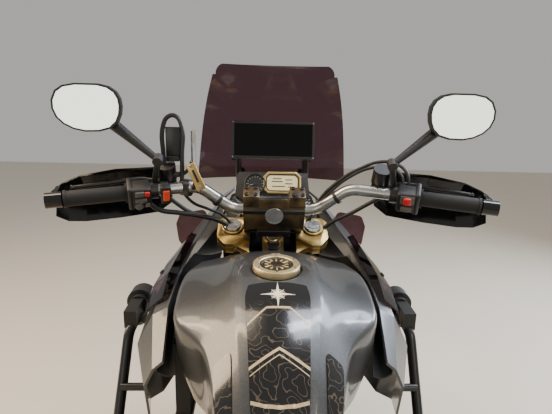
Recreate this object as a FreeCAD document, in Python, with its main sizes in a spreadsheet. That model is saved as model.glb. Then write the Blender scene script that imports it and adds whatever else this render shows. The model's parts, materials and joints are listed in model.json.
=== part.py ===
# A large adventure touring motorcycle on its centre stand, in millimetres.
# +Y is forward, +X is the rider's right, +Z is up. The floor is Z = 0 and the origin lies on it,
# under the middle of the machine. The front tyre and the stand's feet touch the floor.
# What turns with the handlebar is drawn in a steering frame: its local Z runs up the steering
# axis from the point where that axis meets the floor, and its local Y points forward.
import FreeCAD, Part
import math
import os
import Sketcher

SIZES = {
    # wheels and steering geometry
    "wheelbase": 1540,
    "frontAxleY": 796,
    "frontTyreRadius": 329,
    "frontTyreWidth": 112,
    "frontBeadRadius": 244,
    "rearTyreRadius": 321,
    "rearTyreWidth": 150,
    "rearBeadRadius": 219,
    "rearTyreLift": 25,
    "rimFlange": 11,
    "rimDepth": 20,
    "hubFlangeRadius": 62,
    "hubWaistRadius": 34,
    "frontHubWidth": 116,
    "rearHubWidth": 112,
    "spokeRadius": 2.2,
    "spokesPerWheel": 32,
    "rakeAngle": 28,
    "trail": 126,
    "runningGap": 5,
    "seatGap": 0.3,
    # axles and brakes
    "axleRadius": 12.5,
    "axleBoreRadius": 8,
    "hubGap": 1,
    "frontDiscRadius": 155,
    "rearDiscRadius": 141,
    "discThickness": 5,
    "frontDiscX": 61,
    "rearDiscX": 59,
    "discBand": 34,
    # fork and yokes
    "forkSpacing": 205,
    "forkTubeRadius": 28,
    "forkSliderRadius": 21.5,
    "forkTubeStart": 705,
    "forkTopHeight": 1164,
    "topYokeHeight": 1134,
    "topYokeThickness": 30,
    "lowerYokeHeight": 952,
    "lowerYokeThickness": 36,
    "yokeWall": 11,
    "stemRadius": 14,
    "headTubeRadius": 32,
    "headTubeBore": 19,
    # handlebar and controls, in the steering frame
    "barRadius": 14,
    "barEndRadius": 11,
    "barCentreY": 37,
    "barCentreHeight": 1235,
    "barStraight": 104,
    "barBendX": 178,
    "barRise": 68,
    "barHalfWidth": 455,
    "barPullback": 86,
    "barEndRise": 27,
    "gripRadius": 17,
    "gripLength": 128,
    "barWeightLength": 32,
    "clampWidth": 38,
    "clampSpacing": 108,
    "guardReach": 78,
    "guardDrop": 98,
    "guardThickness": 4,
    "mirrorX": 409,
    "mirrorY": 107,
    "mirrorHeight": 1462,
    "mirrorWidth": 148,
    "mirrorTall": 102,
    "mirrorDepth": 46,
    # frame
    "sparRadius": 19,
    "cradleRadius": 13,
    "railRadius": 12,
    "pivotY": -165,
    "pivotHeight": 430,
    "pivotPlateX": 122,
    "pivotPlateThickness": 20,
    "railEndY": -930,
    # engine
    "crankcaseWidth": 280,
    "cylinderWidth": 250,
    "coverDepth": 46,
    # tank and seats
    "tankFrontY": 296,
    "tankWidth": 396,
    "tankTop": 1056,
    "capY": 128,
    "capRadius": 46,
    "flangeRadius": 62,
    "seatHeight": 862,
    "pillionHeight": 918,
    # fairing
    "cowlWidth": 566,
    "cowlThickness": 5,
    "screenWidth": 444,
    "screenTopWidth": 304,
    "screenTop": 1452,
    "screenThickness": 4,
    "screenCorner": 26,
    # stands
    "standPivotY": -232,
    "standPivotHeight": 292,
    "standFootY": -206,
    "standFootX": 152,
    "standTubeRadius": 14,
    "sideStandLength": 214,
    "sideStandX": -182,
    "sideStandY": 40,
    "sideStandHeight": 212,
    "sideStandSplay": 24,
    # rack, bars and silencer
    "crashBarRadius": 12.5,
    "crashBarX": 345,
    "rackBoltSpacingX": 120,
    "rackBoltSpacingY": 150,
    "rackBoltRadius": 3.4,
    "rackHeight": 925,
    "silencerWidth": 104,
    "silencerHeight": 148,
    "pipeRadius": 20,
}

doc = FreeCAD.newDocument("Motorcycle")
sheet = doc.addObject("Spreadsheet::Sheet", "Sizes")
for row, (name, value) in enumerate(SIZES.items(), 1):
    sheet.set(f"A{row}", name)
    sheet.set(f"B{row}", str(value))
    sheet.setAlias(f"B{row}", name)
doc.recompute()


def size(name):
    return float(sheet.get(name))


def value(expression):
    return float(sheet.evalExpression(expression))


def vector(x, y, z):
    return FreeCAD.Vector(x, y, z)


alongX = vector(1, 0, 0)
alongY = vector(0, 1, 0)
alongZ = vector(0, 0, 1)
origin = vector(0, 0, 0)

rake = math.radians(size("rakeAngle"))
steeringFoot = vector(0, size("frontAxleY") + size("trail"), 0)
steeringPlace = FreeCAD.Placement(steeringFoot, FreeCAD.Rotation(alongX, size("rakeAngle")))
frontAxle = vector(0, size("frontAxleY"), size("frontTyreRadius"))
rearAxle = vector(0, size("frontAxleY") - size("wheelbase"), size("rearTyreRadius") + size("rearTyreLift"))
# The front axle seen in the steering frame: how far it leads the axis, and how far up it lies.
forkOffset = size("frontTyreRadius") * math.sin(rake) - size("trail") * math.cos(rake)
axleHeight = size("frontTyreRadius") * math.cos(rake) + size("trail") * math.sin(rake)
pivot = vector(0, size("pivotY"), size("pivotHeight"))
seatGap = size("seatGap")


def steered(x, y, z):
    """A point of the steering frame, seen in the frame of the whole machine."""
    return steeringPlace.multVec(vector(x, y, z))


# Shapes from Part's own functions

def roundedWire(points, radius, closed=False):
    """Straight runs through the points, joined by tangent arcs that are as large as the runs allow."""
    count = len(points)
    corners = range(count) if closed else range(1, count - 1)
    trims = {}
    for i in corners:
        before = points[i - 1] - points[i]
        after = points[(i + 1) % count] - points[i]
        turn = math.pi - before.getAngle(after)
        if turn < 0.01:
            continue
        # A run between two bends is shared by both; an end run belongs to its only bend.
        shares = [0.49 if closed or 0 < k < count - 2 else 0.96 for k in (i - 1, i)]
        reach = min(radius * math.tan(turn / 2), shares[0] * before.Length, shares[1] * after.Length)
        start = points[i] + before.normalize() * reach
        end = points[i] + after.normalize() * reach
        middle = (start + end) * 0.5
        inward = (middle - points[i]).normalize()
        arcRadius = reach / math.tan(turn / 2)
        bulge = points[i] + inward * (arcRadius / math.cos(turn / 2) - arcRadius)
        trims[i] = (start, bulge, end)
    edges = []
    last = count if closed else count - 1
    for i in range(last):
        j = (i + 1) % count
        a = trims[i][2] if i in trims else points[i]
        b = trims[j][0] if j in trims else points[j]
        if (b - a).Length > 1e-4:
            edges.append(Part.LineSegment(a, b).toShape())
        if j in trims and (closed or j < count - 1):
            edges.append(Part.Arc(*trims[j]).toShape())
    return Part.Wire(edges)


def tube(points, radius, bend=40):
    """A round bar along a route of straight runs and tangent arcs."""
    path = roundedWire(points, bend)
    circle = Part.Circle(points[0], points[1] - points[0], radius)
    return path.makePipeShell([Part.Wire(circle.toShape())], True, False)


def prism(points, radius, push):
    """A closed outline with rounded corners, extruded."""
    return Part.Face(roundedWire(points, radius, True)).extrude(push)


def sidePlate(outline, radius, x, width):
    """A prism across the machine: the outline is given as (y, z) pairs and starts at x."""
    return prism([vector(x, y, z) for y, z in outline], radius, vector(width, 0, 0))


def planPlate(outline, radius, z, height):
    return prism([vector(x, y, z) for x, y in outline], radius, vector(0, 0, height))


def rod(start, end, radius):
    return Part.makeCylinder(radius, (end - start).Length, start, end - start)


def block(low, high):
    return Part.makeBox(high.x - low.x, high.y - low.y, high.z - low.z, low)


def joined(shapes):
    result = shapes[0]
    for other in shapes[1:]:
        result = result.fuse(other)
    return result.removeSplitter()


def mirrored(shape):
    return shape.mirror(origin, alongX)


def pair(shape):
    return Part.makeCompound([shape, mirrored(shape)])


def both(shape):
    return [shape, mirrored(shape)]


def placed(shape, placement):
    return shape.transformed(placement.toMatrix())


def node(label, shape, place=None):
    """Stores a shape that no feature of its own fits as a sub-part."""
    feature = doc.addObject("Part::Feature", label)
    feature.Label = label
    solids = shape.Solids
    feature.Shape = solids[0] if len(solids) == 1 else Part.makeCompound(solids)
    if place is not None:
        feature.Placement = place
    return feature


# Bodies with sketches

def newBody(label, base=None):
    body = doc.addObject("PartDesign::Body", label)
    body.Label = label
    for axis, expression in (base or {}).items():
        body.setExpression(f"Placement.Base.{axis}", expression)
    return body


def originPlane(body, role):
    return [f for f in body.Origin.OriginFeatures if f.Role == role][0]


def newSketch(body, name, role):
    sketch = body.newObject("Sketcher::SketchObject", name)
    sketch.AttachmentSupport = [(originPlane(body, role), "")]
    sketch.MapMode = "FlatFace"
    return sketch


def bind(sketch, constraint, expression):
    index = sketch.addConstraint(constraint)
    sketch.setExpression(f"Constraints[{index}]", expression)


def outlineSketch(body, name, role, corners):
    """A closed outline. Each corner is (x, y) or (x, y, radius) as expressions on the sheet, and the
    radius bows the side that follows the corner outwards, for corners given clockwise."""
    sketch = newSketch(body, name, role)
    places = [vector(value(c[0]), value(c[1]), 0) for c in corners]
    count = len(corners)
    for i, corner in enumerate(corners):
        a = places[i]
        b = places[(i + 1) % count]
        if len(corner) == 2:
            sketch.addGeometry(Part.LineSegment(a, b), False)
            continue
        radius = value(corner[2])
        half = (b - a).Length / 2
        along = (b - a).normalize()
        left = vector(-along.y, along.x, 0)
        rise = radius - math.sqrt(radius * radius - half * half)
        sketch.addGeometry(Part.Arc(a, (a + b) * 0.5 + left * rise, b), False)
    ends = []
    for i in range(count):
        first = sketch.getPoint(i, 1)
        ends.append((1, 2) if (first - places[i]).Length < 1e-3 else (2, 1))
    for i in range(count):
        j = (i + 1) % count
        sketch.addConstraint(Sketcher.Constraint("Coincident", i, ends[i][1], j, ends[j][0]))
    for i, corner in enumerate(corners):
        bind(sketch, Sketcher.Constraint("DistanceX", i, ends[i][0], places[i].x), corner[0])
        bind(sketch, Sketcher.Constraint("DistanceY", i, ends[i][0], places[i].y), corner[1])
        if len(corner) == 3:
            bind(sketch, Sketcher.Constraint("Radius", i, value(corner[2])), corner[2])
    return sketch


def circleSketch(body, name, role, circles):
    """Circles as (x, y, radius) expressions."""
    sketch = newSketch(body, name, role)
    for i, (x, y, radius) in enumerate(circles):
        centre = vector(value(x), value(y), 0)
        sketch.addGeometry(Part.Circle(centre, alongZ, value(radius)), False)
        bind(sketch, Sketcher.Constraint("Radius", i, value(radius)), radius)
        if x == "0" and y == "0":
            sketch.addConstraint(Sketcher.Constraint("Coincident", i, 3, -1, 1))
        else:
            bind(sketch, Sketcher.Constraint("DistanceX", i, 3, centre.x), x)
            bind(sketch, Sketcher.Constraint("DistanceY", i, 3, centre.y), y)
    return sketch


def revolution(body, name, sketch, axis="H_Axis"):
    feature = body.newObject("PartDesign::Revolution", name)
    feature.Profile = sketch
    feature.ReferenceAxis = (sketch, [axis])
    feature.Angle = 360
    return feature


def pad(body, name, sketch, length, centred=True):
    feature = body.newObject("PartDesign::Pad", name)
    feature.Profile = sketch
    feature.setExpression("Length", length)
    feature.Midplane = centred
    return feature


def s(name):
    return "Sizes." + name


rearAxleYText = "Sizes.frontAxleY - Sizes.wheelbase"
rearAxleZText = "Sizes.rearTyreRadius + Sizes.rearTyreLift"
frontBase = {"y": s("frontAxleY"), "z": s("frontTyreRadius")}
rearBase = {"y": rearAxleYText, "z": rearAxleZText}


def makeMirroredPair(label, body):
    """The body and its mirror image on the other side of the machine, as one sub-part."""
    other = doc.addObject("Part::Mirroring", label + "_left")
    other.Source = body
    other.Normal = alongX
    both = doc.addObject("Part::Compound", label)
    both.Label = label
    both.Links = [body, other]
    return both


# Wheels: tyre, spoked wheel and brake discs

def makeTyre(label, width, radius, bead, base):
    body = newBody(label, base)
    half = f"Sizes.{width} / 2"
    crown = f"Sizes.{radius}"
    foot = f"Sizes.{bead}"
    # How far the crown's arc rises above its own ends, for half a width of one.
    crownRise = "(1.62 - sqrt(1.62 ^ 2 - 0.62 ^ 2))"
    sketch = outlineSketch(body, label + "_section", "XY_Plane", [
        (f"-{half} + 22", foot),
        (f"-{half} + 22", f"{foot} + Sizes.rimFlange + 2"),
        (f"-{half}", f"{foot} + 40"),
        (f"-{half} + 5", f"{crown} - 36"),
        (f"-{half} * 0.62", f"{crown} - {half} * {crownRise}", f"{half} * 1.62"),
        (f"{half} * 0.62", f"{crown} - {half} * {crownRise}"),
        (f"{half} - 5", f"{crown} - 36"),
        (f"{half}", f"{foot} + 40"),
        (f"{half} - 22", f"{foot} + Sizes.rimFlange + 2"),
        (f"{half} - 22", foot),
    ])
    revolution(body, label + "_round", sketch)
    return body


def spoke(length):
    side = size("spokeRadius") * 1.8
    return Part.makeBox(side, side, length, vector(-side / 2, -side / 2, 0))


def makeSpokedWheel(label, tyreWidth, bead, hubWidth, centre):
    """Rim, hub and crossed wire spokes, joined as one laced wheel."""
    beadRadius = size(bead) - seatGap
    half = size(tyreWidth) / 2 - 22 + seatGap + 7
    flange = beadRadius + size("rimFlange")
    well = beadRadius - size("rimDepth")
    rimOutline = [(-half, flange), (-half + 7, flange), (-half + 7, beadRadius), (-half * 0.45, well + 8),
                  (half * 0.45, well + 8), (half - 7, beadRadius), (half - 7, flange), (half, flange),
                  (half, beadRadius - 8), (half * 0.5, well), (-half * 0.5, well), (-half, beadRadius - 8)]
    rim = Part.Face(Part.makePolygon([vector(x, r, 0) for x, r in rimOutline + rimOutline[:1]]))
    hubHalf = size(hubWidth) / 2
    bore = size("axleRadius") + size("hubGap")
    flangeRadius = size("hubFlangeRadius")
    waist = size("hubWaistRadius")
    hubOutline = [(-hubHalf, bore), (-hubHalf, waist), (-hubHalf + 6, flangeRadius),
                  (-hubHalf + 13, flangeRadius),
                  (-hubHalf + 22, waist), (hubHalf - 22, waist), (hubHalf - 13, flangeRadius),
                  (hubHalf - 6, flangeRadius), (hubHalf, waist), (hubHalf, bore)]
    hub = Part.Face(Part.makePolygon([vector(x, r, 0) for x, r in hubOutline + hubOutline[:1]]))
    pieces = [rim.revolve(origin, alongX, 360), hub.revolve(origin, alongX, 360)]
    count = int(size("spokesPerWheel"))
    # Neighbouring spokes leave the hub on opposite sides and lean opposite ways.
    for i in range(count):
        side = 1 if i % 2 else -1
        lean = 1 if i % 4 < 2 else -1
        at = 2 * math.pi * i / count
        out = 2 * math.pi * (i + 1.6 * lean) / count
        start = vector(side * (hubHalf - 9.5), (flangeRadius - 6) * math.cos(out),
                       (flangeRadius - 6) * math.sin(out))
        end = vector(side * half * 0.3, (well + 4) * math.cos(at), (well + 4) * math.sin(at))
        pieces.append(placed(spoke((end - start).Length),
                             FreeCAD.Placement(start, FreeCAD.Rotation(alongZ, end - start))))
    wheel = pieces[0].fuse(pieces[1:])
    return node(label, wheel, FreeCAD.Placement(centre, FreeCAD.Rotation()))


def makeDisc(label, radius, xs, base):
    """A brake disc drilled all round; its carrier arms reach in to the hub."""
    body = newBody(label, base)
    sketch = circleSketch(body, label + "_ring", "YZ_Plane", [("0", "0", s(radius)),
                                                              ("0", "0", s("hubWaistRadius") + " - 12")])
    pad(body, label + "_pad", sketch, s("discThickness"))
    windows = outlineSketch(body, label + "_window", "YZ_Plane", [
        (f"-Sizes.{radius} * 0.16", f"Sizes.{radius} - Sizes.discBand"),
        (f"Sizes.{radius} * 0.16", f"Sizes.{radius} - Sizes.discBand"),
        ("9", "Sizes.hubFlangeRadius + 8"),
        ("-9", "Sizes.hubFlangeRadius + 8"),
    ])
    cut = body.newObject("PartDesign::Pocket", label + "_cut")
    cut.Profile = windows
    cut.Type = 1
    cut.Midplane = True
    pattern = body.newObject("PartDesign::PolarPattern", label + "_windows")
    pattern.Originals = [cut]
    pattern.Axis = (sketch, ["N_Axis"])
    pattern.Angle = 360
    pattern.Occurrences = 6
    body.Tip = pattern
    body.setExpression("Placement.Base.x", xs)
    return body


makeTyre("front_tyre", "frontTyreWidth", "frontTyreRadius", "frontBeadRadius", frontBase)
makeTyre("rear_tyre", "rearTyreWidth", "rearTyreRadius", "rearBeadRadius", rearBase)
makeSpokedWheel("front_spoked_wheel", "frontTyreWidth", "frontBeadRadius", "frontHubWidth", frontAxle)
makeSpokedWheel("rear_spoked_wheel", "rearTyreWidth", "rearBeadRadius", "rearHubWidth", rearAxle)
frontDisc = makeDisc("front_disc", "frontDiscRadius", s("frontDiscX"), frontBase)
makeMirroredPair("front_discs", frontDisc)
makeDisc("rear_disc", "rearDiscRadius", s("rearDiscX"), rearBase)


# Fork, yokes and axle, in the steering frame

legX = size("forkSpacing") / 2
legRadius = size("forkTubeRadius")
sliderRadius = size("forkSliderRadius")


def makeForkLegs():
    start = size("forkTubeStart")
    top = size("forkTopHeight")
    leg = joined([
        rod(vector(legX, forkOffset, start), vector(legX, forkOffset, top), legRadius),
        rod(vector(legX, forkOffset, top), vector(legX, forkOffset, top + 8), legRadius - 7),
        rod(vector(legX, forkOffset, axleHeight + 40), vector(legX, forkOffset, start), sliderRadius),
        rod(vector(legX, forkOffset, axleHeight - 24), vector(legX, forkOffset, axleHeight + 96),
            legRadius - 2),
        block(vector(legX - 14, forkOffset - 66, axleHeight + 70),
              vector(legX + 8, forkOffset, axleHeight + 92)),
        block(vector(legX - 14, forkOffset - 66, axleHeight + 6),
              vector(legX + 8, forkOffset, axleHeight + 28)),
    ])
    reach = legX + legRadius + 6
    axle = rod(vector(-reach, forkOffset, axleHeight), vector(reach, forkOffset, axleHeight),
               size("axleRadius"))
    bore = rod(vector(-reach - 1, forkOffset, axleHeight), vector(reach + 1, forkOffset, axleHeight),
               size("axleBoreRadius"))
    return node("fork_legs", joined(both(leg) + [axle]).cut(bore), steeringPlace)


def yokeOutline(grow):
    wide = legX + legRadius + size("yokeWall") + grow
    deep = legRadius + size("yokeWall") + grow
    return [vector(-wide, forkOffset - deep * 0.5, 0), vector(-wide, forkOffset + deep, 0),
            vector(-legX * 0.35, forkOffset + deep * 0.6, 0),
            vector(legX * 0.35, forkOffset + deep * 0.6, 0),
            vector(wide, forkOffset + deep, 0), vector(wide, forkOffset - deep * 0.5, 0),
            vector(legX * 0.45, -deep, 0), vector(-legX * 0.45, -deep, 0)]


def makeYoke(height, thickness):
    plate = prism([p + alongZ * height for p in yokeOutline(0)], 22, alongZ * thickness)
    holes = [rod(vector(x, forkOffset, height - 1), vector(x, forkOffset, height + thickness + 1),
                 legRadius + seatGap)
             for x in (-legX, legX)]
    return plate.cut(holes)


def makeYokes():
    low = size("lowerYokeHeight")
    lowTop = low + size("lowerYokeThickness")
    high = size("topYokeHeight")
    highTop = high + size("topYokeThickness")
    stem = rod(vector(0, 0, lowTop - 5), vector(0, 0, highTop + 4), size("stemRadius"))
    nut = Part.Face(Part.makePolygon([vector(21 * math.cos(math.radians(60 * i)),
                                             21 * math.sin(math.radians(60 * i)),
                                             highTop) for i in range(7)])).extrude(alongZ * 10)
    lower = makeYoke(low, size("lowerYokeThickness"))
    web = size("topYokeThickness") * 0.55
    wide = legX + legRadius + size("yokeWall")
    lug = prism([vector(wide - 44, forkOffset - 60, high + web),
                 vector(wide - 84, forkOffset - 34, high + web),
                 vector(wide - 84, forkOffset + 30, high + web),
                 vector(wide - 66, forkOffset + 38, high + web),
                 vector(wide - 14, forkOffset + 38, high + web),
                 vector(wide - 2, forkOffset + 24, high + web),
                 vector(wide - 2, forkOffset - 34, high + web),
                 vector(wide - 22, forkOffset - 60, high + web)],
                8, alongZ * (size("topYokeThickness") - web))
    under = lug.copy()
    under.translate(alongZ * -web)
    boss = block(vector(-26, -36, high), vector(26, 26, highTop))
    legs = both(rod(vector(legX, forkOffset, high - 1), vector(legX, forkOffset, highTop + 1),
                    legRadius + seatGap))
    upper = joined([makeYoke(high, web), boss] + both(lug) + both(under)).cut(legs)
    barrel = rod(vector(0, -22, highTop), vector(0, -22, highTop + 5), 9)
    return node("yokes", joined([lower, upper, stem, nut, barrel]), steeringPlace)


makeForkLegs()
makeYokes()


# Handlebar, clamps and controls, in the steering frame

barEnd = vector(size("barHalfWidth"), size("barCentreY") - size("barPullback"),
                size("barCentreHeight") + size("barRise") + size("barEndRise"))
barBend = vector(size("barBendX"), size("barCentreY"), size("barCentreHeight") + size("barRise"))
barInner = vector(size("barStraight"), size("barCentreY"), size("barCentreHeight"))
gripAlong = (barBend - barEnd).normalize()


def onGrip(inward, forward, up):
    """A point beside the grip: inward from the bar's end, forward of it and above it."""
    return barEnd + gripAlong * inward + alongY * forward + alongZ * up


def makeHandlebar():
    left = [vector(-p.x, p.y, p.z) for p in (barEnd, barBend, barInner)]
    taper = onGrip(200, 0, 0)
    thick = tube([vector(-taper.x, taper.y, taper.z)] + left[1:] + [barInner, barBend, taper],
                 size("barRadius"), 58)
    ends = both(rod(taper, barEnd + gripAlong * 3, size("barEndRadius")))
    return node("handlebar", joined([thick] + ends), steeringPlace)


def makeGrips():
    length = size("gripLength")
    sleeve = joined([rod(onGrip(4, 0, 0), onGrip(length, 0, 0), size("gripRadius")),
                     rod(onGrip(length, 0, 0), onGrip(length + 5, 0, 0), size("gripRadius") + 5),
                     rod(onGrip(4, 0, 0), onGrip(9, 0, 0), size("gripRadius") + 2)])
    bore = rod(onGrip(2, 0, 0), onGrip(length + 8, 0, 0), size("barEndRadius") + seatGap)
    return node("grips", pair(sleeve.cut(bore)), steeringPlace)


def makeBarClamp():
    high = size("topYokeHeight") + size("topYokeThickness")
    centreY = size("barCentreY")
    centreZ = size("barCentreHeight")
    half = size("clampWidth") / 2
    grip = size("barRadius")
    spacing = size("clampSpacing") / 2
    front = centreY - grip - 20
    low = centreZ - grip - 14
    outline = [(centreY - 10, high + seatGap), (centreY - 10, low), (front + 8, low),
               (front + 8, centreZ + grip + 14),
               (front + 18, centreZ + grip + 24), (centreY + 22, centreZ + grip + 28),
               (centreY + 32, centreZ + grip + 14),
               (centreY + 32, low + 8), (centreY + 14, low), (centreY + 14, high + seatGap)]
    risers = both(sidePlate(outline, 4, spacing - half, 2 * half))
    bridge = sidePlate([(front, low), (front, centreZ + grip + 8), (front + 10, centreZ + grip + 18),
                        (centreY + 10, centreZ + grip + 20), (centreY + 10, centreZ + grip + 5),
                        (front + 12, low)],
                       3, -spacing - half, 2 * (spacing + half))
    bar = rod(vector(-200, centreY, centreZ), vector(200, centreY, centreZ), grip + seatGap)
    return node("bar_clamp", joined(risers + [bridge]).cut(bar), steeringPlace)


def makeSwitchPods():
    pod = joined([
        rod(onGrip(size("gripLength") + 7, 0, 0), onGrip(size("gripLength") + 50, 0, 0), 23),
        prism([onGrip(size("gripLength") + 18, -26, -24), onGrip(size("gripLength") + 18, -26, 14),
               onGrip(size("gripLength") + 18, 6, 22), onGrip(size("gripLength") + 18, 6, -30)], 6,
               gripAlong * 34),
    ])
    bar = rod(onGrip(size("gripLength"), 0, 0), onGrip(size("gripLength") + 60, 0, 0),
              size("barEndRadius") + seatGap)
    return node("switch_pods", pair(pod.cut(bar)), steeringPlace)


perchAt = size("gripLength") + 55


def perch():
    """The lever's perch clamped to the bar, with the fluid reservoir on it."""
    return joined([
        rod(onGrip(perchAt, 0, 0), onGrip(perchAt + 16, 0, 0), 19),
        prism([onGrip(perchAt, 8, -12), onGrip(perchAt, 8, 12), onGrip(perchAt, 46, 10),
               onGrip(perchAt, 46, -12)], 4,
              gripAlong * 16),
        rod(onGrip(perchAt + 2, 34, 0), onGrip(perchAt + 52, 34, 0), 12),
        rod(onGrip(perchAt + 34, 34, 6), onGrip(perchAt + 34, 34, 44), 21),
    ])


def makeLevers():
    lever = tube([onGrip(perchAt + 12, 34, -2), onGrip(perchAt - 30, 52, -4), onGrip(perchAt - 70, 50, -4),
                  onGrip(6, 44, -6)], 6, 40)
    knob = Part.makeSphere(8, onGrip(6, 44, -6))
    bar = rod(onGrip(perchAt - 5, 0, 0), onGrip(perchAt + 25, 0, 0), size("barRadius") + seatGap)
    return node("levers", pair(joined([lever, knob, perch()]).cut(bar)), steeringPlace)


def guardSection(inward, reach, drop, top, curl):
    """One cross-section of a hand guard: a strip folded around the front of the grip."""
    wall = size("guardThickness")
    fold = [(reach * 0.42, -drop), (reach * 0.86, -drop * 0.72), (reach, -drop * 0.3),
            (reach * 0.97, top * 0.4),
            (reach * curl, top)]
    outer = [onGrip(inward, y, z) for y, z in fold]
    inner = [onGrip(inward, y - wall, z + (1 if z < 0 else -1)) for y, z in fold]
    return Part.makePolygon(outer + inner[::-1] + [outer[0]])


def makeHandGuards():
    reach = size("guardReach")
    drop = size("guardDrop")
    sections = [(-28, reach * 0.42, drop * 0.56, 4, 0.8), (-12, reach * 0.72, drop * 0.84, 8, 0.84),
                (20, reach * 0.94, drop * 0.97, 13, 0.86), (96, reach * 1.02, drop, 19, 0.86),
                (184, reach * 1.05, drop * 0.96, 14, 0.86), (218, reach * 1.06, drop * 0.7, 8, 0.86)]
    shell = Part.makeLoft([guardSection(*row) for row in sections], True, True)
    weight = rod(onGrip(1, 0, 0), onGrip(-size("barWeightLength"), 0, 0), size("gripRadius"))
    strap = prism([onGrip(-22, 8, -10), onGrip(-22, 8, 8), onGrip(-22, reach * 0.55, 6),
                   onGrip(-22, reach * 0.55, -12)],
                  3, gripAlong * 9)
    return node("hand_guards", pair(joined([weight, strap, shell])), steeringPlace)


mirrorCorners = [(-1.0, 0.1), (-0.97, 0.42), (-0.86, 0.7), (-0.66, 0.9), (-0.36, 1.0), (0.3, 1.0),
                 (0.66, 0.9),
                 (0.88, 0.68), (1.0, 0.3), (1.0, -0.06), (0.9, -0.42), (0.7, -0.7), (0.42, -0.9),
                 (0.08, -1.0),
                 (-0.34, -0.98), (-0.68, -0.84), (-0.88, -0.56), (-0.97, -0.24)]


def makeMirrors():
    """A housing lofted from its small back to its wide rim, on a bent stem."""
    centre = vector(size("mirrorX"), size("mirrorY"), size("mirrorHeight"))
    back = vector(0, math.cos(rake), -math.sin(rake))
    up = vector(0, math.sin(rake), math.cos(rake))
    across = alongX * (size("mirrorWidth") / 2)
    tall = up * (size("mirrorTall") / 2)
    depth = size("mirrorDepth")
    sections = []
    for share, distance in ((1.0, -depth * 0.5), (1.0, -depth * 0.2), (0.84, depth * 0.28),
                            (0.5, depth * 0.5)):
        middle = centre + back * distance
        outline = [middle + across * (a * share) + tall * (b * share) for a, b in mirrorCorners]
        sections.append(Part.makePolygon(outline + outline[:1]))
    housing = Part.makeLoft(sections, True, True)
    base = onGrip(perchAt + 8, 14, 12)
    knee = onGrip(perchAt + 25, 10, 76)
    corner = centre - across * 0.66 - tall * 0.72 + back * 2
    post = joined([rod(base, knee, 7), rod(knee - alongY * 10, knee + alongY * 10, 11)])
    arm = Part.makeCone(7, 13, (corner - knee).Length, knee, corner - knee)
    lifted = perch()
    lifted.translate(alongZ * seatGap)
    return node("mirrors", pair(joined([post, arm, housing]).cut([perch(), lifted])), steeringPlace)


def makeMirrorGlass():
    centre = vector(size("mirrorX"), size("mirrorY"), size("mirrorHeight"))
    back = vector(0, math.cos(rake), -math.sin(rake))
    up = vector(0, math.sin(rake), math.cos(rake))
    across = alongX * (size("mirrorWidth") / 2)
    tall = up * (size("mirrorTall") / 2)
    middle = centre - back * (size("mirrorDepth") * 0.5)
    outline = [middle + across * (a * 0.93) + tall * (b * 0.92) for a, b in mirrorCorners]
    glass = Part.Face(Part.makePolygon(outline + outline[:1])).extrude(back * -1.5)
    return node("mirror_glass", pair(glass), steeringPlace)


def makeFrontMudguard():
    """An arched guard over the tyre, held between the fork legs."""
    inner = size("frontTyreRadius") + 13
    half = size("frontTyreWidth") / 2 + 10
    wall = 4
    outline = [(-half, inner - 42), (-half, inner - 4), (-half + 24, inner + 6), (half - 24, inner + 6),
               (half, inner - 4),
               (half, inner - 42), (half + wall, inner - 42), (half + wall, inner - 1),
               (half - 23, inner + 6 + wall),
               (-half + 23, inner + 6 + wall), (-half - wall, inner - 1), (-half - wall, inner - 42)]
    section = Part.Face(Part.makePolygon([vector(x, 0, r) for x, r in outline + outline[:1]]))
    arch = section.revolve(origin, alongX, 118)
    arch.rotate(origin, alongX, -58)
    arch.translate(vector(0, forkOffset, axleHeight))
    gap = legX - sliderRadius - half
    bosses = both(rod(vector(half + 1, forkOffset, axleHeight + inner - 30),
                      vector(half + gap - seatGap, forkOffset, axleHeight + inner - 30), 12))
    return node("front_mudguard", joined([arch] + bosses), steeringPlace)


def makeCalipers():
    """Four-piston calipers bolted behind the legs, each split by the slot that its disc runs in."""
    x = size("frontDiscX")
    slot = size("discThickness") / 2 + size("runningGap")
    reach = size("frontDiscRadius")
    outer = legX - 14 - seatGap
    body = prism([vector(x - 10.5, forkOffset - reach * 0.52, axleHeight + 2),
                  vector(x - 10.5, forkOffset - reach * 1.08, axleHeight + 12),
                  vector(x - 10.5, forkOffset - reach * 1.05, axleHeight + 84),
                  vector(x - 10.5, forkOffset - reach * 0.5, axleHeight + 98)], 12,
                  alongX * (outer - x + 10.5))
    cut = Part.makeCylinder(reach + size("runningGap"), 2 * slot, vector(x - slot, forkOffset, axleHeight),
                            alongX)
    return node("front_calipers", pair(body.cut(cut)), steeringPlace)


makeHandlebar()
makeGrips()
makeBarClamp()
makeSwitchPods()
makeLevers()
makeHandGuards()
makeMirrors()
makeMirrorGlass()
makeFrontMudguard()
makeCalipers()

# Frame, with the tubes that hold the tank, the seats and the cockpit

headLow = size("lowerYokeHeight") + size("lowerYokeThickness") + size("runningGap") - 3
headHigh = size("topYokeHeight") - size("runningGap") + 3
plateX = size("pivotPlateX")
sparX = 98
sparRoute = [vector(20, 424, 905), vector(sparX, 330, 858), vector(sparX + 7, 100, 808),
             vector(sparX + 7, -92, 770),
             vector(plateX + 10, -146, 640), vector(plateX + 10, pivot.y + 10, pivot.z + 90)]
railEnd = vector(72, size("railEndY"), 852)
railRoute = [vector(sparX + 2, -80, 772), vector(sparX, -250, 782), vector(92, -600, 818), railEnd]
strutRoute = [vector(plateX + 4, -160, 560), vector(90, -600, 812)]
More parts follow.
